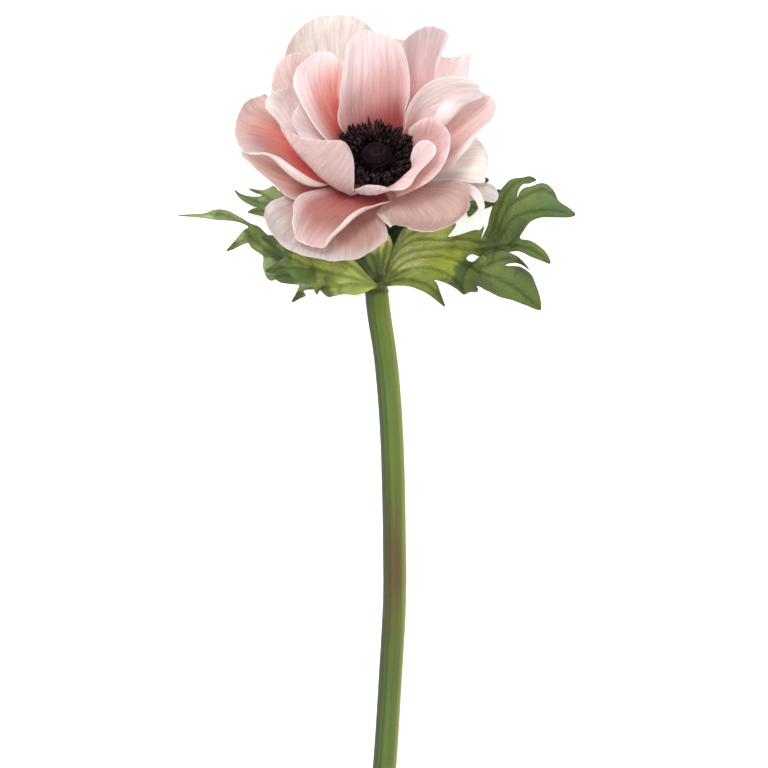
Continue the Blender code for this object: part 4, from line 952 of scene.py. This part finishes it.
def rounded(loop, n):
    """A closed centripetal curve through the points of a loop."""
    p = np.asarray(loop, float)
    out = []
    k = len(p)
    for i in range(k):
        a, b, c, d = p[i - 1], p[i], p[(i + 1) % k], p[(i + 2) % k]
        t0 = 0.0
        t1 = t0 + max(np.linalg.norm(b - a), 1e-6) ** 0.5
        t2 = t1 + max(np.linalg.norm(c - b), 1e-6) ** 0.5
        t3 = t2 + max(np.linalg.norm(d - c), 1e-6) ** 0.5
        m = max(2, int(round(np.linalg.norm(c - b) / n)))
        for t in np.linspace(t1, t2, m, endpoint=False):
            a1 = (t1 - t) / (t1 - t0) * a + (t - t0) / (t1 - t0) * b
            a2 = (t2 - t) / (t2 - t1) * b + (t - t1) / (t2 - t1) * c
            a3 = (t3 - t) / (t3 - t2) * c + (t - t2) / (t3 - t2) * d
            b1 = (t2 - t) / (t2 - t0) * a1 + (t - t0) / (t2 - t0) * a2
            b2 = (t3 - t) / (t3 - t1) * a2 + (t - t1) / (t3 - t1) * a3
            out.append((t2 - t) / (t2 - t1) * b1 + (t - t1) / (t2 - t1) * b2)
    return np.array(out)


LEAVES = {}
LEAVES["leaf_right"] = dict(
    outline=[(383, 285, -27), (387, 286, -27), (395, 285.5, -24), (408, 286, -20), (418, 289, -18), (428, 294, -18), (436, 300, -20),
             (441, 304, -22), (445, 306.5, -24), (443, 300, -22), (440, 292, -18), (437, 284, -14), (434, 280, -12), (440, 281, -12),
             (450, 285, -13), (458, 290, -15), (464, 294.5, -17), (470, 292, -16), (478, 291, -16), (477, 287, -14), (476, 285.5, -13),
             (480, 286.5, -12, 2), (490, 292, -10, 6), (500, 297, -9, 8), (512, 300, -10, 8), (525, 305, -12, 8), (535, 309, -15, 8),
             (540.5, 310, -17, 8), (541, 305, -16, 8), (540, 298, -14, 8), (537, 288, -12, 8), (532, 276, -11, 8), (527, 271, -11, 8),
             (520, 267, -11, 8), (513, 266, -11, 8), (505, 265.5, -10, 8), (512, 263.3, -12, 8), (520, 264, -14, 8), (529, 269.5, -20, 8),
             (524, 262.5, -18, 8), (518, 257, -16, 8), (512, 254, -15, 8), (506, 252, -14, 8), (498, 251, -13, 8), (490, 252, -12, 8),
             (483, 254.5, -13, 7), (478, 258, -15, 5), (473, 262, -18, 2), (466, 258.5, -20), (472, 254, -22), (478, 256, -24),
             (484, 257.5, -26), (492, 257, -28), (500, 255.5, -29), (508, 252.5, -30), (515, 251, -31), (522, 252, -32), (530, 256, -35),
             (540, 260, -39), (550.5, 263.5, -43), (549, 257, -42), (545, 251, -40), (538, 245, -38), (530, 240.5, -36), (521, 239, -34),
             (520, 237, -34), (524, 230, -35), (529, 223, -37), (535, 219, -40), (543, 217, -43), (555, 217, -47), (572, 216.5, -52),
             (576, 214, -54), (570, 208, -52), (562, 203, -49), (558, 199, -47), (555, 192, -45), (550, 186, -43), (546, 183.5, -42),
             (540, 183, -41), (532, 186, -39), (524, 188, -38), (520, 192, -37), (517, 198.5, -36), (518.5, 190, -37), (523, 184, -38),
             (530, 183, -40), (536.5, 179.5, -42), (530, 176, -41), (522, 177.5, -40), (516, 178, -39), (510, 180, -38), (505, 185, -37),
             (500, 191, -36), (495, 200, -35), (491, 212, -34), (489, 220, -33), (488, 225, -32), (485, 232, -31), (481, 239, -29),
             (484, 226, -30), (480, 230, -29), (475, 230, -29), (465, 233, -28), (455, 236, -27), (448, 236.5, -27), (452, 231, -27),
             (456, 224, -27), (450, 221, -28), (440, 224, -28), (430, 225, -28), (418, 224, -28), (404, 228, -29), (398, 238, -29),
             (393, 250, -28), (389, 262, -27), (385.5, 274, -27), (383, 281, -27)],
    inside=[(410, 262, -17), (440, 258, -11), (460, 248, -15), (455, 268, -11), (480, 275, -7), (505, 280, -5), (525, 292, -8), (490, 262, -9),
            (500, 225, -26), (515, 215, -29), (540, 200, -36), (520, 246, -29), (430, 238, -21)])
LEAVES["leaf_left"] = dict(
    outline=[(176, 214.5, -89), (200, 217, -84), (215, 219, -81), (230, 220, -78), (240, 222, -76), (248, 226.5, -73), (243, 230, -75),
             (237, 237, -78), (230, 245, -82), (225.5, 250.5, -85), (232, 249, -81), (240, 245, -78), (248, 242.5, -74), (250, 246, -73),
             (255, 250, -71), (263, 256, -68), (262.5, 265, -69), (264, 272, -71), (267, 278, -73), (271, 280.5, -74), (275, 279, -72),
             (280, 282, -71), (290, 283.5, -68), (299, 285, -64), (297, 291, -65), (291.5, 302, -68), (300, 298, -65), (305.5, 295, -64),
             (303, 291, -62), (306, 289.5, -60), (315, 289, -58), (330, 287, -54), (350, 287, -50), (361.5, 289, -46), (361.5, 281, -46),
             (350, 270, -50), (335, 262, -55), (310, 250, -62), (285, 243, -68), (268, 235, -72), (258, 226, -73), (250, 223, -74),
             (242, 218, -76), (235, 214, -78), (227, 210, -80), (218, 208.7, -82), (210, 210, -84), (205, 212.3, -86), (190, 213.5, -89)],
    inside=[(270, 250, -62), (300, 268, -55), (330, 274, -49), (222, 214, -76), (245, 234, -71), (272, 268, -65)])
LEAVES["leaf_front"] = dict(
    outline=[(377, 286, -25), (371, 289.5, -25), (362, 293.5, -22), (355, 295, -20), (345, 294, -18), (334, 296, -17), (328.5, 297, -17),
             (324, 294, -22), (320, 290, -21), (317, 294.5, -15), (315, 292, -14), (312, 285, -14), (305, 283.5, -14), (298, 281.5, -15),
             (292, 277, -14), (288, 272, -13), (282, 273, -12), (275, 273.7, -12), (270, 273, -12), (265.5, 270.8, -12), (272, 266, -12),
             (280, 261, -13), (285, 256, -16), (279, 251, -22), (270, 245, -28), (261.5, 237, -33), (267, 235.3, -32), (273, 235.5, -31),
             (280, 242, -26), (290, 246, -20), (310, 246, -13), (330, 248, -9), (345, 254, -10), (354, 260, -14), (360, 266, -17),
             (365, 272, -20), (372, 279, -23)],
    inside=[(350, 278, -13), (330, 270, -8), (305, 264, -8), (285, 264, -9), (328, 286, -12)])
LEAVES["leaf_up"] = dict(
    outline=[(374.5, 282, -28), (380.8, 282, -28), (384, 274, -25), (388, 262, -22), (391.5, 252, -19), (392.5, 245, -18), (390, 237, -18),
             (386, 231, -19), (382, 225, -20), (370, 219, -24), (350, 211, -32), (325, 203, -45), (300, 195, -60), (286, 189, -70),
             (279, 190.5, -75), (273, 185.2, -79), (267, 188, -82), (262, 189.5, -85), (248, 187.7, -92), (255, 192, -88), (262, 194.3, -85),
             (258, 196, -87), (248, 195.3, -91), (240, 193, -93), (233.5, 188.5, -95), (239, 197, -93), (246, 202, -90), (255, 206, -87),
             (258, 206.3, -86), (251, 208.5, -90), (247, 211.3, -93), (252, 213, -90), (258, 214.5, -87), (264, 216, -83), (275, 220, -76),
             (295, 228, -62), (315, 236, -48), (335, 246, -36), (345, 254, -31), (353, 262, -29), (361, 270, -28), (368, 277, -28)],
    inside=[(376, 262, -22), (372, 240, -19), (350, 230, -24), (320, 218, -40), (285, 204, -68), (362, 262, -24)])
LEAVES["leaf_back"] = dict(
    outline=[(373, 285, -59), (370.5, 262, -59), (377, 238, -60), (384, 222, -62), (398, 206, -66), (420, 195, -72), (445, 185, -79),
             (462, 176, -85), (476, 173, -90), (489.5, 179, -95), (486, 183, -92), (494, 188, -93), (501.5, 189.5, -95), (499, 194, -94),
             (492, 199, -92), (495, 203, -94), (484, 207.5, -94), (480, 203, -90), (478, 208.5, -90), (469, 216, -90), (466, 210, -86),
             (455, 212, -80), (438, 216, -74), (420, 222, -69), (405, 229, -65), (398, 241, -62), (392, 256, -60), (387.5, 272, -59),
             (385, 285, -59)],
    inside=[(380, 262, -57), (400, 222, -62), (440, 200, -72), (470, 192, -82)])

# Main veins, from the leaf's base to each tip.
VEINS = {
    "leaf_right": [
        [(384, 284), (400, 279), (420, 282), (436, 292), (444, 305)],
        [(384, 282), (405, 270), (430, 268), (450, 276), (462, 288)],
        [(384, 281), (405, 262), (430, 256), (460, 262), (480, 272), (505, 282), (525, 296), (539, 308)],
        [(480, 267), (492, 263), (510, 259), (527, 268)],
        [(384, 279), (402, 255), (425, 249), (455, 248), (480, 250), (505, 246), (530, 249), (549, 262)],
        [(385, 277), (400, 248), (415, 240), (440, 240), (470, 240), (485, 243), (497, 240), (505, 228), (515, 217), (530, 212), (550, 210), (574, 215)],
        [(490, 243), (500, 225), (508, 208), (525, 196), (545, 190), (556, 197)],
        [(488, 240), (494, 225), (500, 205), (508, 190), (520, 181), (535, 179)],
        [(385, 275), (396, 250), (408, 235), (425, 228)],
        [(386, 272), (393, 258), (400, 240), (404, 230)]],
    "leaf_left": [
        [(361, 285), (330, 280), (300, 268), (270, 252), (250, 235), (232, 217), (215, 214), (178, 214.5)],
        [(300, 268), (280, 262), (262, 246), (245, 240), (228, 249)],
        [(330, 280), (305, 276), (285, 275), (268, 276)],
        [(345, 285), (320, 286.5), (305, 290), (293, 300)]],
    "leaf_front": [
        [(376, 285), (350, 277), (320, 270), (295, 260), (275, 247), (264, 238)],
        [(376, 285), (352, 284), (332, 286), (322, 287)],
        [(376, 285), (355, 268), (330, 257), (300, 254), (285, 251)],
        [(320, 270), (300, 268), (285, 268), (268, 271)]],
    "leaf_up": [
        [(378, 282), (374, 262), (364, 242), (345, 228), (315, 215), (285, 205), (255, 201), (236, 190)],
        [(285, 205), (270, 198), (258, 192), (249, 188)],
        [(300, 210), (280, 209), (262, 211), (250, 210)],
        [(379, 281), (383, 262), (386, 240)],
        [(376, 280), (367, 264), (356, 252), (345, 244)],
        [(378, 280), (378, 260), (374, 238), (360, 226)]],
    "leaf_back": [
        [(379, 284), (379, 262), (388, 235), (405, 216), (440, 201), (470, 191), (499, 190)],
        [(470, 191), (482, 195), (494, 202)],
        [(440, 201), (460, 204), (478, 207)]],
}

# Greens of each leaf and where they lie: fresh and yellowish by the stem, deeper at the tips, darker in the folds and
# under the bloom, where the dark greens are painted shade.
# Fourteen greens, from the deep painted shade under the bloom to the pale hairy lights, which are partly painted
# highlight.
GREENS = {
    "night": (46, 62, 34), "deep": (70, 84, 46), "dark": (86, 104, 56), "shade": (100, 120, 60), "leaf": (112, 132, 72),
    "dull": (104, 126, 84), "mid": (132, 148, 66), "fresh": (150, 166, 82), "silver": (138, 156, 112), "lime": (172, 190, 76),
    "light": (184, 198, 112), "pale": (200, 212, 144), "hoary": (182, 194, 150), "white": (226, 230, 160),
}
# Which green lies where on each blade.
TONES = {
    "leaf_right": [(386, 284, "shade"), (400, 258, "pale"), (396, 280, "fresh"), (430, 238, "light"), (450, 264, "lime"), (420, 290, "mid"),
                   (442, 302, "shade"), (472, 240, "mid"), (456, 284, "dark"), (466, 268, "shade"), (482, 284, "dark"), (500, 256, "shade"),
                   (488, 248, "silver"), (504, 246, "silver"), (474, 250, "fresh"), (496, 270, "leaf"), (520, 290, "shade"), (526, 268, "deep"),
                   (500, 232, "shade"), (496, 200, "shade"), (530, 200, "leaf"), (552, 194, "dull"), (522, 228, "dark"), (536, 216, "shade"),
                   (566, 212, "dull"), (540, 250, "leaf"), (516, 244, "shade")],
    "leaf_left": [(344, 284, "fresh"), (310, 288, "silver"), (296, 300, "dark"), (284, 280, "dark"), (266, 268, "silver"), (258, 250, "leaf"),
                  (272, 252, "dark"), (252, 232, "shade"), (240, 240, "silver"), (228, 248, "shade"), (232, 216, "silver"), (212, 214, "hoary"),
                  (218, 210, "dull")],
    "leaf_front": [(372, 284, "light"), (344, 280, "light"), (332, 262, "fresh"), (318, 286, "fresh"), (300, 258, "fresh"), (302, 276, "shade"),
                   (284, 256, "shade"), (270, 240, "deep"), (272, 270, "dark"), (324, 288, "dark")],
    "leaf_up": [(364, 264, "dark"), (376, 268, "leaf"), (382, 240, "white"), (390, 252, "mid"), (380, 280, "deep"), (258, 200, "dull"),
                (242, 192, "dull"), (268, 190, "silver"), (252, 212, "leaf"), (320, 216, "leaf")],
    "leaf_back": [(390, 236, "night"), (410, 222, "night"), (476, 208, "shade"), (496, 190, "deep"), (496, 204, "deep"), (440, 200, "deep"),
                  (380, 276, "dark")],
}


# Folds: a line, the side that lies in the dark (+1 or -1), how dark, and how far the dark reaches.
CREASES = {
    "leaf_right": [
        ([(464.3, 292.5), (463, 282.5), (465.5, 273.8), (474.3, 263), (483, 254.5)], -1, 0.50, 7.0),
        ([(513, 238), (520.5, 230), (528, 223.8), (541, 216.5)], 1, 0.42, 5.0),
        ([(484, 252), (494, 250), (508, 252), (521, 262), (532, 280)], 1, 0.20, 4.0),
        ([(420, 290), (430, 281), (446, 279), (462, 283)], -1, 0.16, 5.0)],
    "leaf_front": [([(310, 256), (314.4, 267), (317, 281), (321, 292)], 1, 0.34, 9.0), ([(324, 278), (319, 284), (316, 292)], -1, 0.30, 3.0)],
    "leaf_left": [([(262, 236), (272, 246), (284, 262), (296, 274)], 1, 0.25, 6.0)],
    "leaf_up": [([(262, 205), (280, 203), (298, 208), (316, 216)], 1, 0.22, 5.0), ([(370, 240), (377, 262), (379, 280)], 1, 0.35, 4.0)],
}


def creased(view, name):
    """How much of the colour is left beside the folds, where painted shade darkens one side and the crease line, and
    the small step there.
    """
    left, step = np.ones(len(view)), np.zeros(len(view))
    for line, side, much, reach in CREASES.get(name, []):
        p = np.array(line, float)
        s = np.concatenate([[0], np.cumsum(np.linalg.norm(np.diff(p, axis=0), axis=1))])
        c = spline_weights(s, np.linspace(0, s[-1], max(6, int(s[-1] / 2)))) @ p
        best, sign = np.full(len(view), 1e9), np.zeros(len(view))
        for a, b in zip(c[:-1], c[1:]):
            d = b - a
            t = np.clip(((view - a) @ d) / max(float(d @ d), 1e-12), 0, 1)
            gap = np.linalg.norm(view - a - t[:, None] * d, axis=1)
            turn = np.sign(d[0] * (view[:, 1] - a[1]) - d[1] * (view[:, 0] - a[0]))
            sign = np.where(gap < best, turn, sign)
            best = np.minimum(best, gap)
        fold_shade = np.where(sign * side > 0, np.exp(-best / reach), 0.5 * np.exp(-(best / 1.0) ** 2))
        left = left * (1 - much * fold_shade)
        step = step + np.where(sign * side > 0, 0.0, 0.22 * np.exp(-best / 3.0))
    return left, step


def branches(mains, step, reach, seed):
    """Side veins: short curved lines that leave the main ones at a slant, turn about."""
    rng = np.random.default_rng(seed)
    a, b = [], []
    for line in mains:
        p = np.array(line, float)
        s = np.concatenate([[0], np.cumsum(np.linalg.norm(np.diff(p, axis=0), axis=1))])
        at = step * 1.5
        side = 1
        while at < s[-1] - step * 0.5:
            q = np.array([np.interp(at, s, p[:, 0]), np.interp(at, s, p[:, 1])])
            q2 = np.array([np.interp(at + 1, s, p[:, 0]), np.interp(at + 1, s, p[:, 1])])
            d = (q2 - q) / np.linalg.norm(q2 - q)
            ang = side * math.radians(rng.uniform(26, 40))
            long_ = reach * rng.uniform(0.7, 1.25) * min(1.0, 0.35 + 1.1 * (1 - at / s[-1]))
            x = q
            for k in range(4):
                c, sn = math.cos(ang), math.sin(ang)
                y = x + np.array([d[0] * c - d[1] * sn, d[0] * sn + d[1] * c]) * long_ / 4
                a.append(x)
                b.append(y)
                x = y
                ang *= 0.72
            side = -side
            at += step * rng.uniform(0.45, 0.75)
    return np.array(a), np.array(b)


def leaf_material(name, dull, see):
    m, nt, b, out = nodes_of(name)
    base = add(nt, "ShaderNodeVertexColor", layer_name="tint").outputs[0]
    veins = add(nt, "ShaderNodeVertexColor", layer_name="vein").outputs[0]
    parts = add(nt, "ShaderNodeSeparateColor")
    nt.links.new(veins, parts.inputs[0])
    d1, d2 = parts.outputs[0], parts.outputs[1]
    wob = noise(nt, mapped_uv(nt, 40.0, 40.0), 1.0, 2.0, 0.6)
    d1w = math_node(nt, "ADD", d1, spread(nt, wob, -0.012, 0.012))
    d2w = math_node(nt, "ADD", d2, spread(nt, wob, -0.02, 0.02))
    line1 = spread(nt, d1w, 1.0, 0.0, 0.025, 0.10)
    trough = spread(nt, d1w, 1.0, 0.0, 0.03, 0.19)
    line2 = spread(nt, d2w, 1.0, 0.0, 0.01, 0.065)
    cloud = noise(nt, mapped_uv(nt, 5.0, 5.0), 1.0, 4.0, 0.62)
    net = add(nt, "ShaderNodeTexVoronoi", feature="DISTANCE_TO_EDGE")
    net.inputs["Scale"].default_value = 1.0
    nt.links.new(mapped_uv(nt, 26.0, 26.0), net.inputs["Vector"])
    mesh_line = spread(nt, net.outputs["Distance"], 1.0, 0.0, 0.0, 0.14)
    grain = noise(nt, mapped_uv(nt, 66.0, 66.0), 1.0, 3.0, 0.75)
    f = math_node(nt, "MULTIPLY", spread(nt, cloud, 0.84, 1.16), spread(nt, grain, 0.76, 1.26))
    f = math_node(nt, "MULTIPLY", f, math_node(nt, "SUBTRACT", 1.0, math_node(nt, "MULTIPLY", trough, 0.44)))
    f = math_node(nt, "MULTIPLY", f, math_node(nt, "ADD", 1.0, math_node(nt, "MULTIPLY", mesh_line, 0.07)))
    f = math_node(nt, "MULTIPLY", f, math_node(nt, "ADD", 1.0, math_node(nt, "MULTIPLY", line2, 0.26)))
    f = math_node(nt, "MULTIPLY", f, math_node(nt, "ADD", 1.0, math_node(nt, "MULTIPLY", line1, 0.22)))
    colour = scaled(nt, base, f)
    nt.links.new(colour, b.inputs["Base Color"])
    nt.links.new(spread(nt, cloud, dull - 0.05, dull + 0.06), b.inputs["Roughness"])
    b.inputs["Specular IOR Level"].default_value = 0.32
    hgt = math_node(nt, "ADD", math_node(nt, "MULTIPLY", mesh_line, -0.35), math_node(nt, "MULTIPLY", grain, 0.35))
    hgt = math_node(nt, "ADD", hgt, math_node(nt, "MULTIPLY", line2, -0.55))
    hgt = math_node(nt, "ADD", hgt, math_node(nt, "MULTIPLY", cloud, 0.5))
    bp = add(nt, "ShaderNodeBump")
    bp.inputs["Strength"].default_value = 0.42
    bp.inputs["Distance"].default_value = 0.0003
    nt.links.new(hgt, bp.inputs["Height"])
    nt.links.new(bp.outputs[0], b.inputs["Normal"])
    thru = add(nt, "ShaderNodeBsdfTranslucent")
    nt.links.new(colour, thru.inputs["Color"])
    nt.links.new(bp.outputs[0], thru.inputs["Normal"])
    ms = add(nt, "ShaderNodeMixShader")
    ms.inputs[0].default_value = see
    nt.links.new(b.outputs[0], ms.inputs[1])
    nt.links.new(thru.outputs[0], ms.inputs[2])
    nt.links.new(ms.outputs[0], out.inputs["Surface"])
    return m


LEAF_TOP = leaf_material("leaf_upper_face", 0.55, 0.14)
LEAF_UNDER = leaf_material("leaf_under_face", 0.68, 0.14)
GRID = 1.3


def leaf(name, outline, mid, number):
    flat = [(p[0], -(p[1] + (p[3] if len(p) > 3 else 0))) for p in outline]
    flat_mid = [(p[0], -(p[1] + (p[3] if len(p) > 3 else 0))) for p in mid]
    fold = thin_plate(flat + flat_mid, [p[:3] for p in outline] + [p[:3] for p in mid])
    edge = rounded(flat, 1.7)
    x0, y0 = edge.min(0)
    x1, y1 = edge.max(0)
    rows = np.arange(y0, y1, GRID * 0.866)
    cells = np.concatenate([np.stack([np.arange(x0, x1, GRID) + (GRID / 2 if k % 2 else 0), np.full(len(np.arange(x0, x1, GRID)), y)], 1) for k, y in enumerate(rows)])
    cells = cells[inside(cells, edge)]
    cells = cells[to_segments(cells, edge, np.roll(edge, -1, axis=0)) > GRID * 0.42]
    pts = np.concatenate([edge, cells])
    out = delaunay_2d_cdt([Vector(p) for p in pts.tolist()], [], [list(range(len(edge)))], 1, 1e-5)
    q = np.array([[v[0], v[1]] for v in out[0]])
    tri = []
    for f in out[2]:
        for k in range(1, len(f) - 1):
            tri.append((f[0], f[k], f[k + 1]))
    tri = np.array(tri)
    area = np.cross(q[tri[:, 1]] - q[tri[:, 0]], q[tri[:, 2]] - q[tri[:, 0]])
    tri = tri[np.abs(area) > 1e-7]
    area = area[np.abs(area) > 1e-7]
    tri[area < 0] = tri[area < 0][:, ::-1]
    used = np.unique(tri)
    back = np.full(len(q), -1)
    back[used] = np.arange(len(used))
    q, tri = q[used], back[tri]
    px = fold(q)
    world = np.array([sheet_point(*p) for p in px])
    # rim loops: directed edges that belong to one triangle
    directed = {}
    for a, b, c in tri.tolist():
        for e in ((a, b), (b, c), (c, a)):
            directed[e] = directed.get(e, 0) + 1
    border = {a: b for (a, b) in directed if (b, a) not in directed}
    rim_edges = [(a, b) for a, b in border.items()]
    seg_a = np.array([q[a] for a, b in rim_edges])
    seg_b = np.array([q[b] for a, b in rim_edges])
    edge_d = to_segments(q, seg_a, seg_b) / 3.0
    view = px[:, :2]
    mains = VEINS[name]
    curves = []
    for line in mains:
        p = np.array(line, float)
        s = np.concatenate([[0], np.cumsum(np.linalg.norm(np.diff(p, axis=0), axis=1))])
        at = np.linspace(0, s[-1], max(6, int(s[-1] / 2.5)))
        curves.append(spline_weights(s, at) @ p)
    a = np.concatenate([c[:-1] for c in curves])
    b = np.concatenate([c[1:] for c in curves])
    d1 = to_segments(view, a, b) / 3.0
    ba, bb = branches([c.tolist() for c in curves], 10.0, 15.0, 600 + number)
    d2 = to_segments(view, ba, bb) / 3.0

    def normals(w):
        n = np.zeros_like(w)
        fn = np.cross(w[tri[:, 1]] - w[tri[:, 0]], w[tri[:, 2]] - w[tri[:, 0]])
        for k in range(3):
            np.add.at(n, tri[:, k], fn)
        return n / np.maximum(np.linalg.norm(n, axis=1, keepdims=True), 1e-15)

    n = normals(world)
    pillow = 1 - np.exp(-(d1 / 1.3) ** 2)
    minor = 1 - np.exp(-(d2 / 0.55) ** 2)
    wave = noise2(q[:, 0] / 13.0 + 5, q[:, 1] / 13.0 + 90, 620 + number)
    fine = noise2(q[:, 0] / 4.2 + 5, q[:, 1] / 4.2 + 90, 640 + number)
    fan = 1 + 1.5 * np.exp(-((view - np.array(mains[0][0])) ** 2).sum(1) / 44.0 ** 2)
    lift = 0.34 * fan * pillow + 0.40 * (1 - np.exp(-(d1 / 0.55) ** 2)) - 0.42 + 0.08 * np.exp(-(d1 / 0.26) ** 2) + 0.14 * minor * pillow + 0.22 * wave * smooth(0.0, 3.0, d1) + 0.09 * fine
    left, step = creased(view, name)
    lift = (lift + step) * smooth(-0.2, 1.2, edge_d)
    world = world + n * (lift * MM)[:, None]
    n = normals(world)
    thick = (0.14 + 0.30 * smooth(0.0, 1.2, edge_d)) * MM
    top, bot = world + n * thick[:, None] / 2, world - n * thick[:, None] / 2
    count = len(world)
    mid_index, mids = {}, []
    before = {b: a for a, b in border.items()}
    for v in border:
        t = world[border[v]] - world[before[v]] if v in before else world[border[v]] - world[v]
        o = np.cross(t, n[v])
        mid_index[v] = 2 * count + len(mids)
        mids.append(world[v] + o / max(np.linalg.norm(o), 1e-12) * thick[v] * 0.5)
    faces = [tuple(f) for f in tri.tolist()] + [(c + count, b + count, a + count) for a, b, c in tri.tolist()]
    top_n = len(tri)
    for v, w in rim_edges:
        faces.append((w, v, mid_index[v], mid_index[w]))
        faces.append((v + count, w + count, mid_index[w], mid_index[v]))
    ob = new_mesh(name + "_blade", np.concatenate([top, bot, np.array(mids)]), faces)
    tones = np.array([t[:2] for t in TONES[name]], float)
    drift = np.stack([noise2(q[:, 0] / 9.0 + 15, q[:, 1] / 9.0 + 70, 660 + number), noise2(q[:, 0] / 9.0 + 45, q[:, 1] / 9.0 + 30, 680 + number)], 1) * 5.0
    drift = drift + np.stack([noise2(q[:, 0] / 3.0 + 15, q[:, 1] / 3.0 + 170, 700 + number), noise2(q[:, 0] / 3.0 + 45, q[:, 1] / 3.0 + 130, 720 + number)], 1) * 2.5
    wgt = 1.0 / ((((view + drift)[:, None, :] - tones[None, :, :2]) ** 2).sum(2) + 9.0) ** 2.4
    wgt /= wgt.sum(1, keepdims=True)
    tint = wgt @ np.array([lin(*GREENS[t[2]]) for t in TONES[name]]) * np.array([0.83, 0.83, 0.66]) * {"leaf_right": 0.93, "leaf_up": 1.10}.get(name, 1.0)
    # painted shade beside the folds
    tint = tint * left[:, None]
    tint = mix(tint, tint * 0.5, (1 - smooth(0.05, 0.6, edge_d)) * 0.6)
    under = mix(tint, lin(142, 156, 118), np.full(len(tint), 0.45))
    order = np.array(list(border.keys()))
    paint(ob, "tint", np.concatenate([tint, under, tint[order] * 0.9]))
    vein = np.stack([np.clip(d1 / 5, 0, 1), np.clip(d2 / 5, 0, 1), np.zeros(len(d1))], 1)
    paint(ob, "vein", np.concatenate([vein, vein, vein[order]]))
    uv = np.stack([q[:, 0] / 90.0, q[:, 1] / 90.0], 1) + number * 1.37 + 7
    lay_uv(ob, np.concatenate([uv, uv, uv[order]]))
    ob.data.materials.append(LEAF_TOP)
    ob.data.materials.append(LEAF_UNDER)
    slots = np.zeros(len(ob.data.polygons), np.int32)
    slots[top_n:2 * top_n] = 1
    ob.data.polygons.foreach_set("material_index", slots)
    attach(ob, "root")
    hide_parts(name)


for number, (key, lf) in enumerate(LEAVES.items()):
    leaf(key, lf["outline"], lf["inside"], number)

# ---------------------------------------------------------------- studio

def floor():
    bpy.ops.mesh.primitive_plane_add(size=30.0, location=(0, 0, 0))
    ob = bpy.context.object
    ob.name = "studio_floor"
    m, nt, b, out = nodes_of("studio_floor")
    b.inputs["Base Color"].default_value = (0.93, 0.93, 0.93, 1)
    b.inputs["Roughness"].default_value = 0.9
    b.inputs["Specular IOR Level"].default_value = 0.0
    b.inputs["Emission Color"].default_value = (1, 1, 1, 1)
    b.inputs["Emission Strength"].default_value = 0.45
    ob.data.materials.append(m)


floor()
world = bpy.data.worlds.new("studio")
bpy.context.scene.world = world
world.use_nodes = True
world.node_tree.nodes["Background"].inputs[0].default_value = (1.0, 1.0, 1.0, 1)
world.node_tree.nodes["Background"].inputs[1].default_value = 1.04


def softbox(name, place, target, size, power, colour=(1, 1, 1)):
    li = bpy.data.lights.new(name, "AREA")
    li.shape = "DISK"
    li.size = size
    li.energy = power
    li.color = colour
    ob = bpy.data.objects.new(name, li)
    bpy.context.scene.collection.objects.link(ob)
    ob.location = place
    ob.rotation_euler = (Vector(target) - Vector(place)).to_track_quat("-Z", "Y").to_euler()


heart = Vector(bloom_point(BLOOM_X, BLOOM_Y, 0))
softbox("key", (-0.5, 1.0, 1.5), heart, 0.9, 20.0)
softbox("fill", (0.9, 0.1, 1.6), heart, 1.2, 3.0)

cam = bpy.data.cameras.new("camera")
cam.sensor_width = 36.0
dist = 5.0
cam.lens = 36.0 * dist / 0.256
cam.clip_end = 60.0
co = bpy.data.objects.new("camera", cam)
bpy.context.scene.collection.objects.link(co)
focus = sheet_point(384.0, 384.0, -21.0)
co.location = (focus[0], focus[1], focus[2] + dist)
co.rotation_euler = (0, 0, 0)
bpy.context.scene.camera = co
bpy.context.scene.view_settings.view_transform = "Standard"
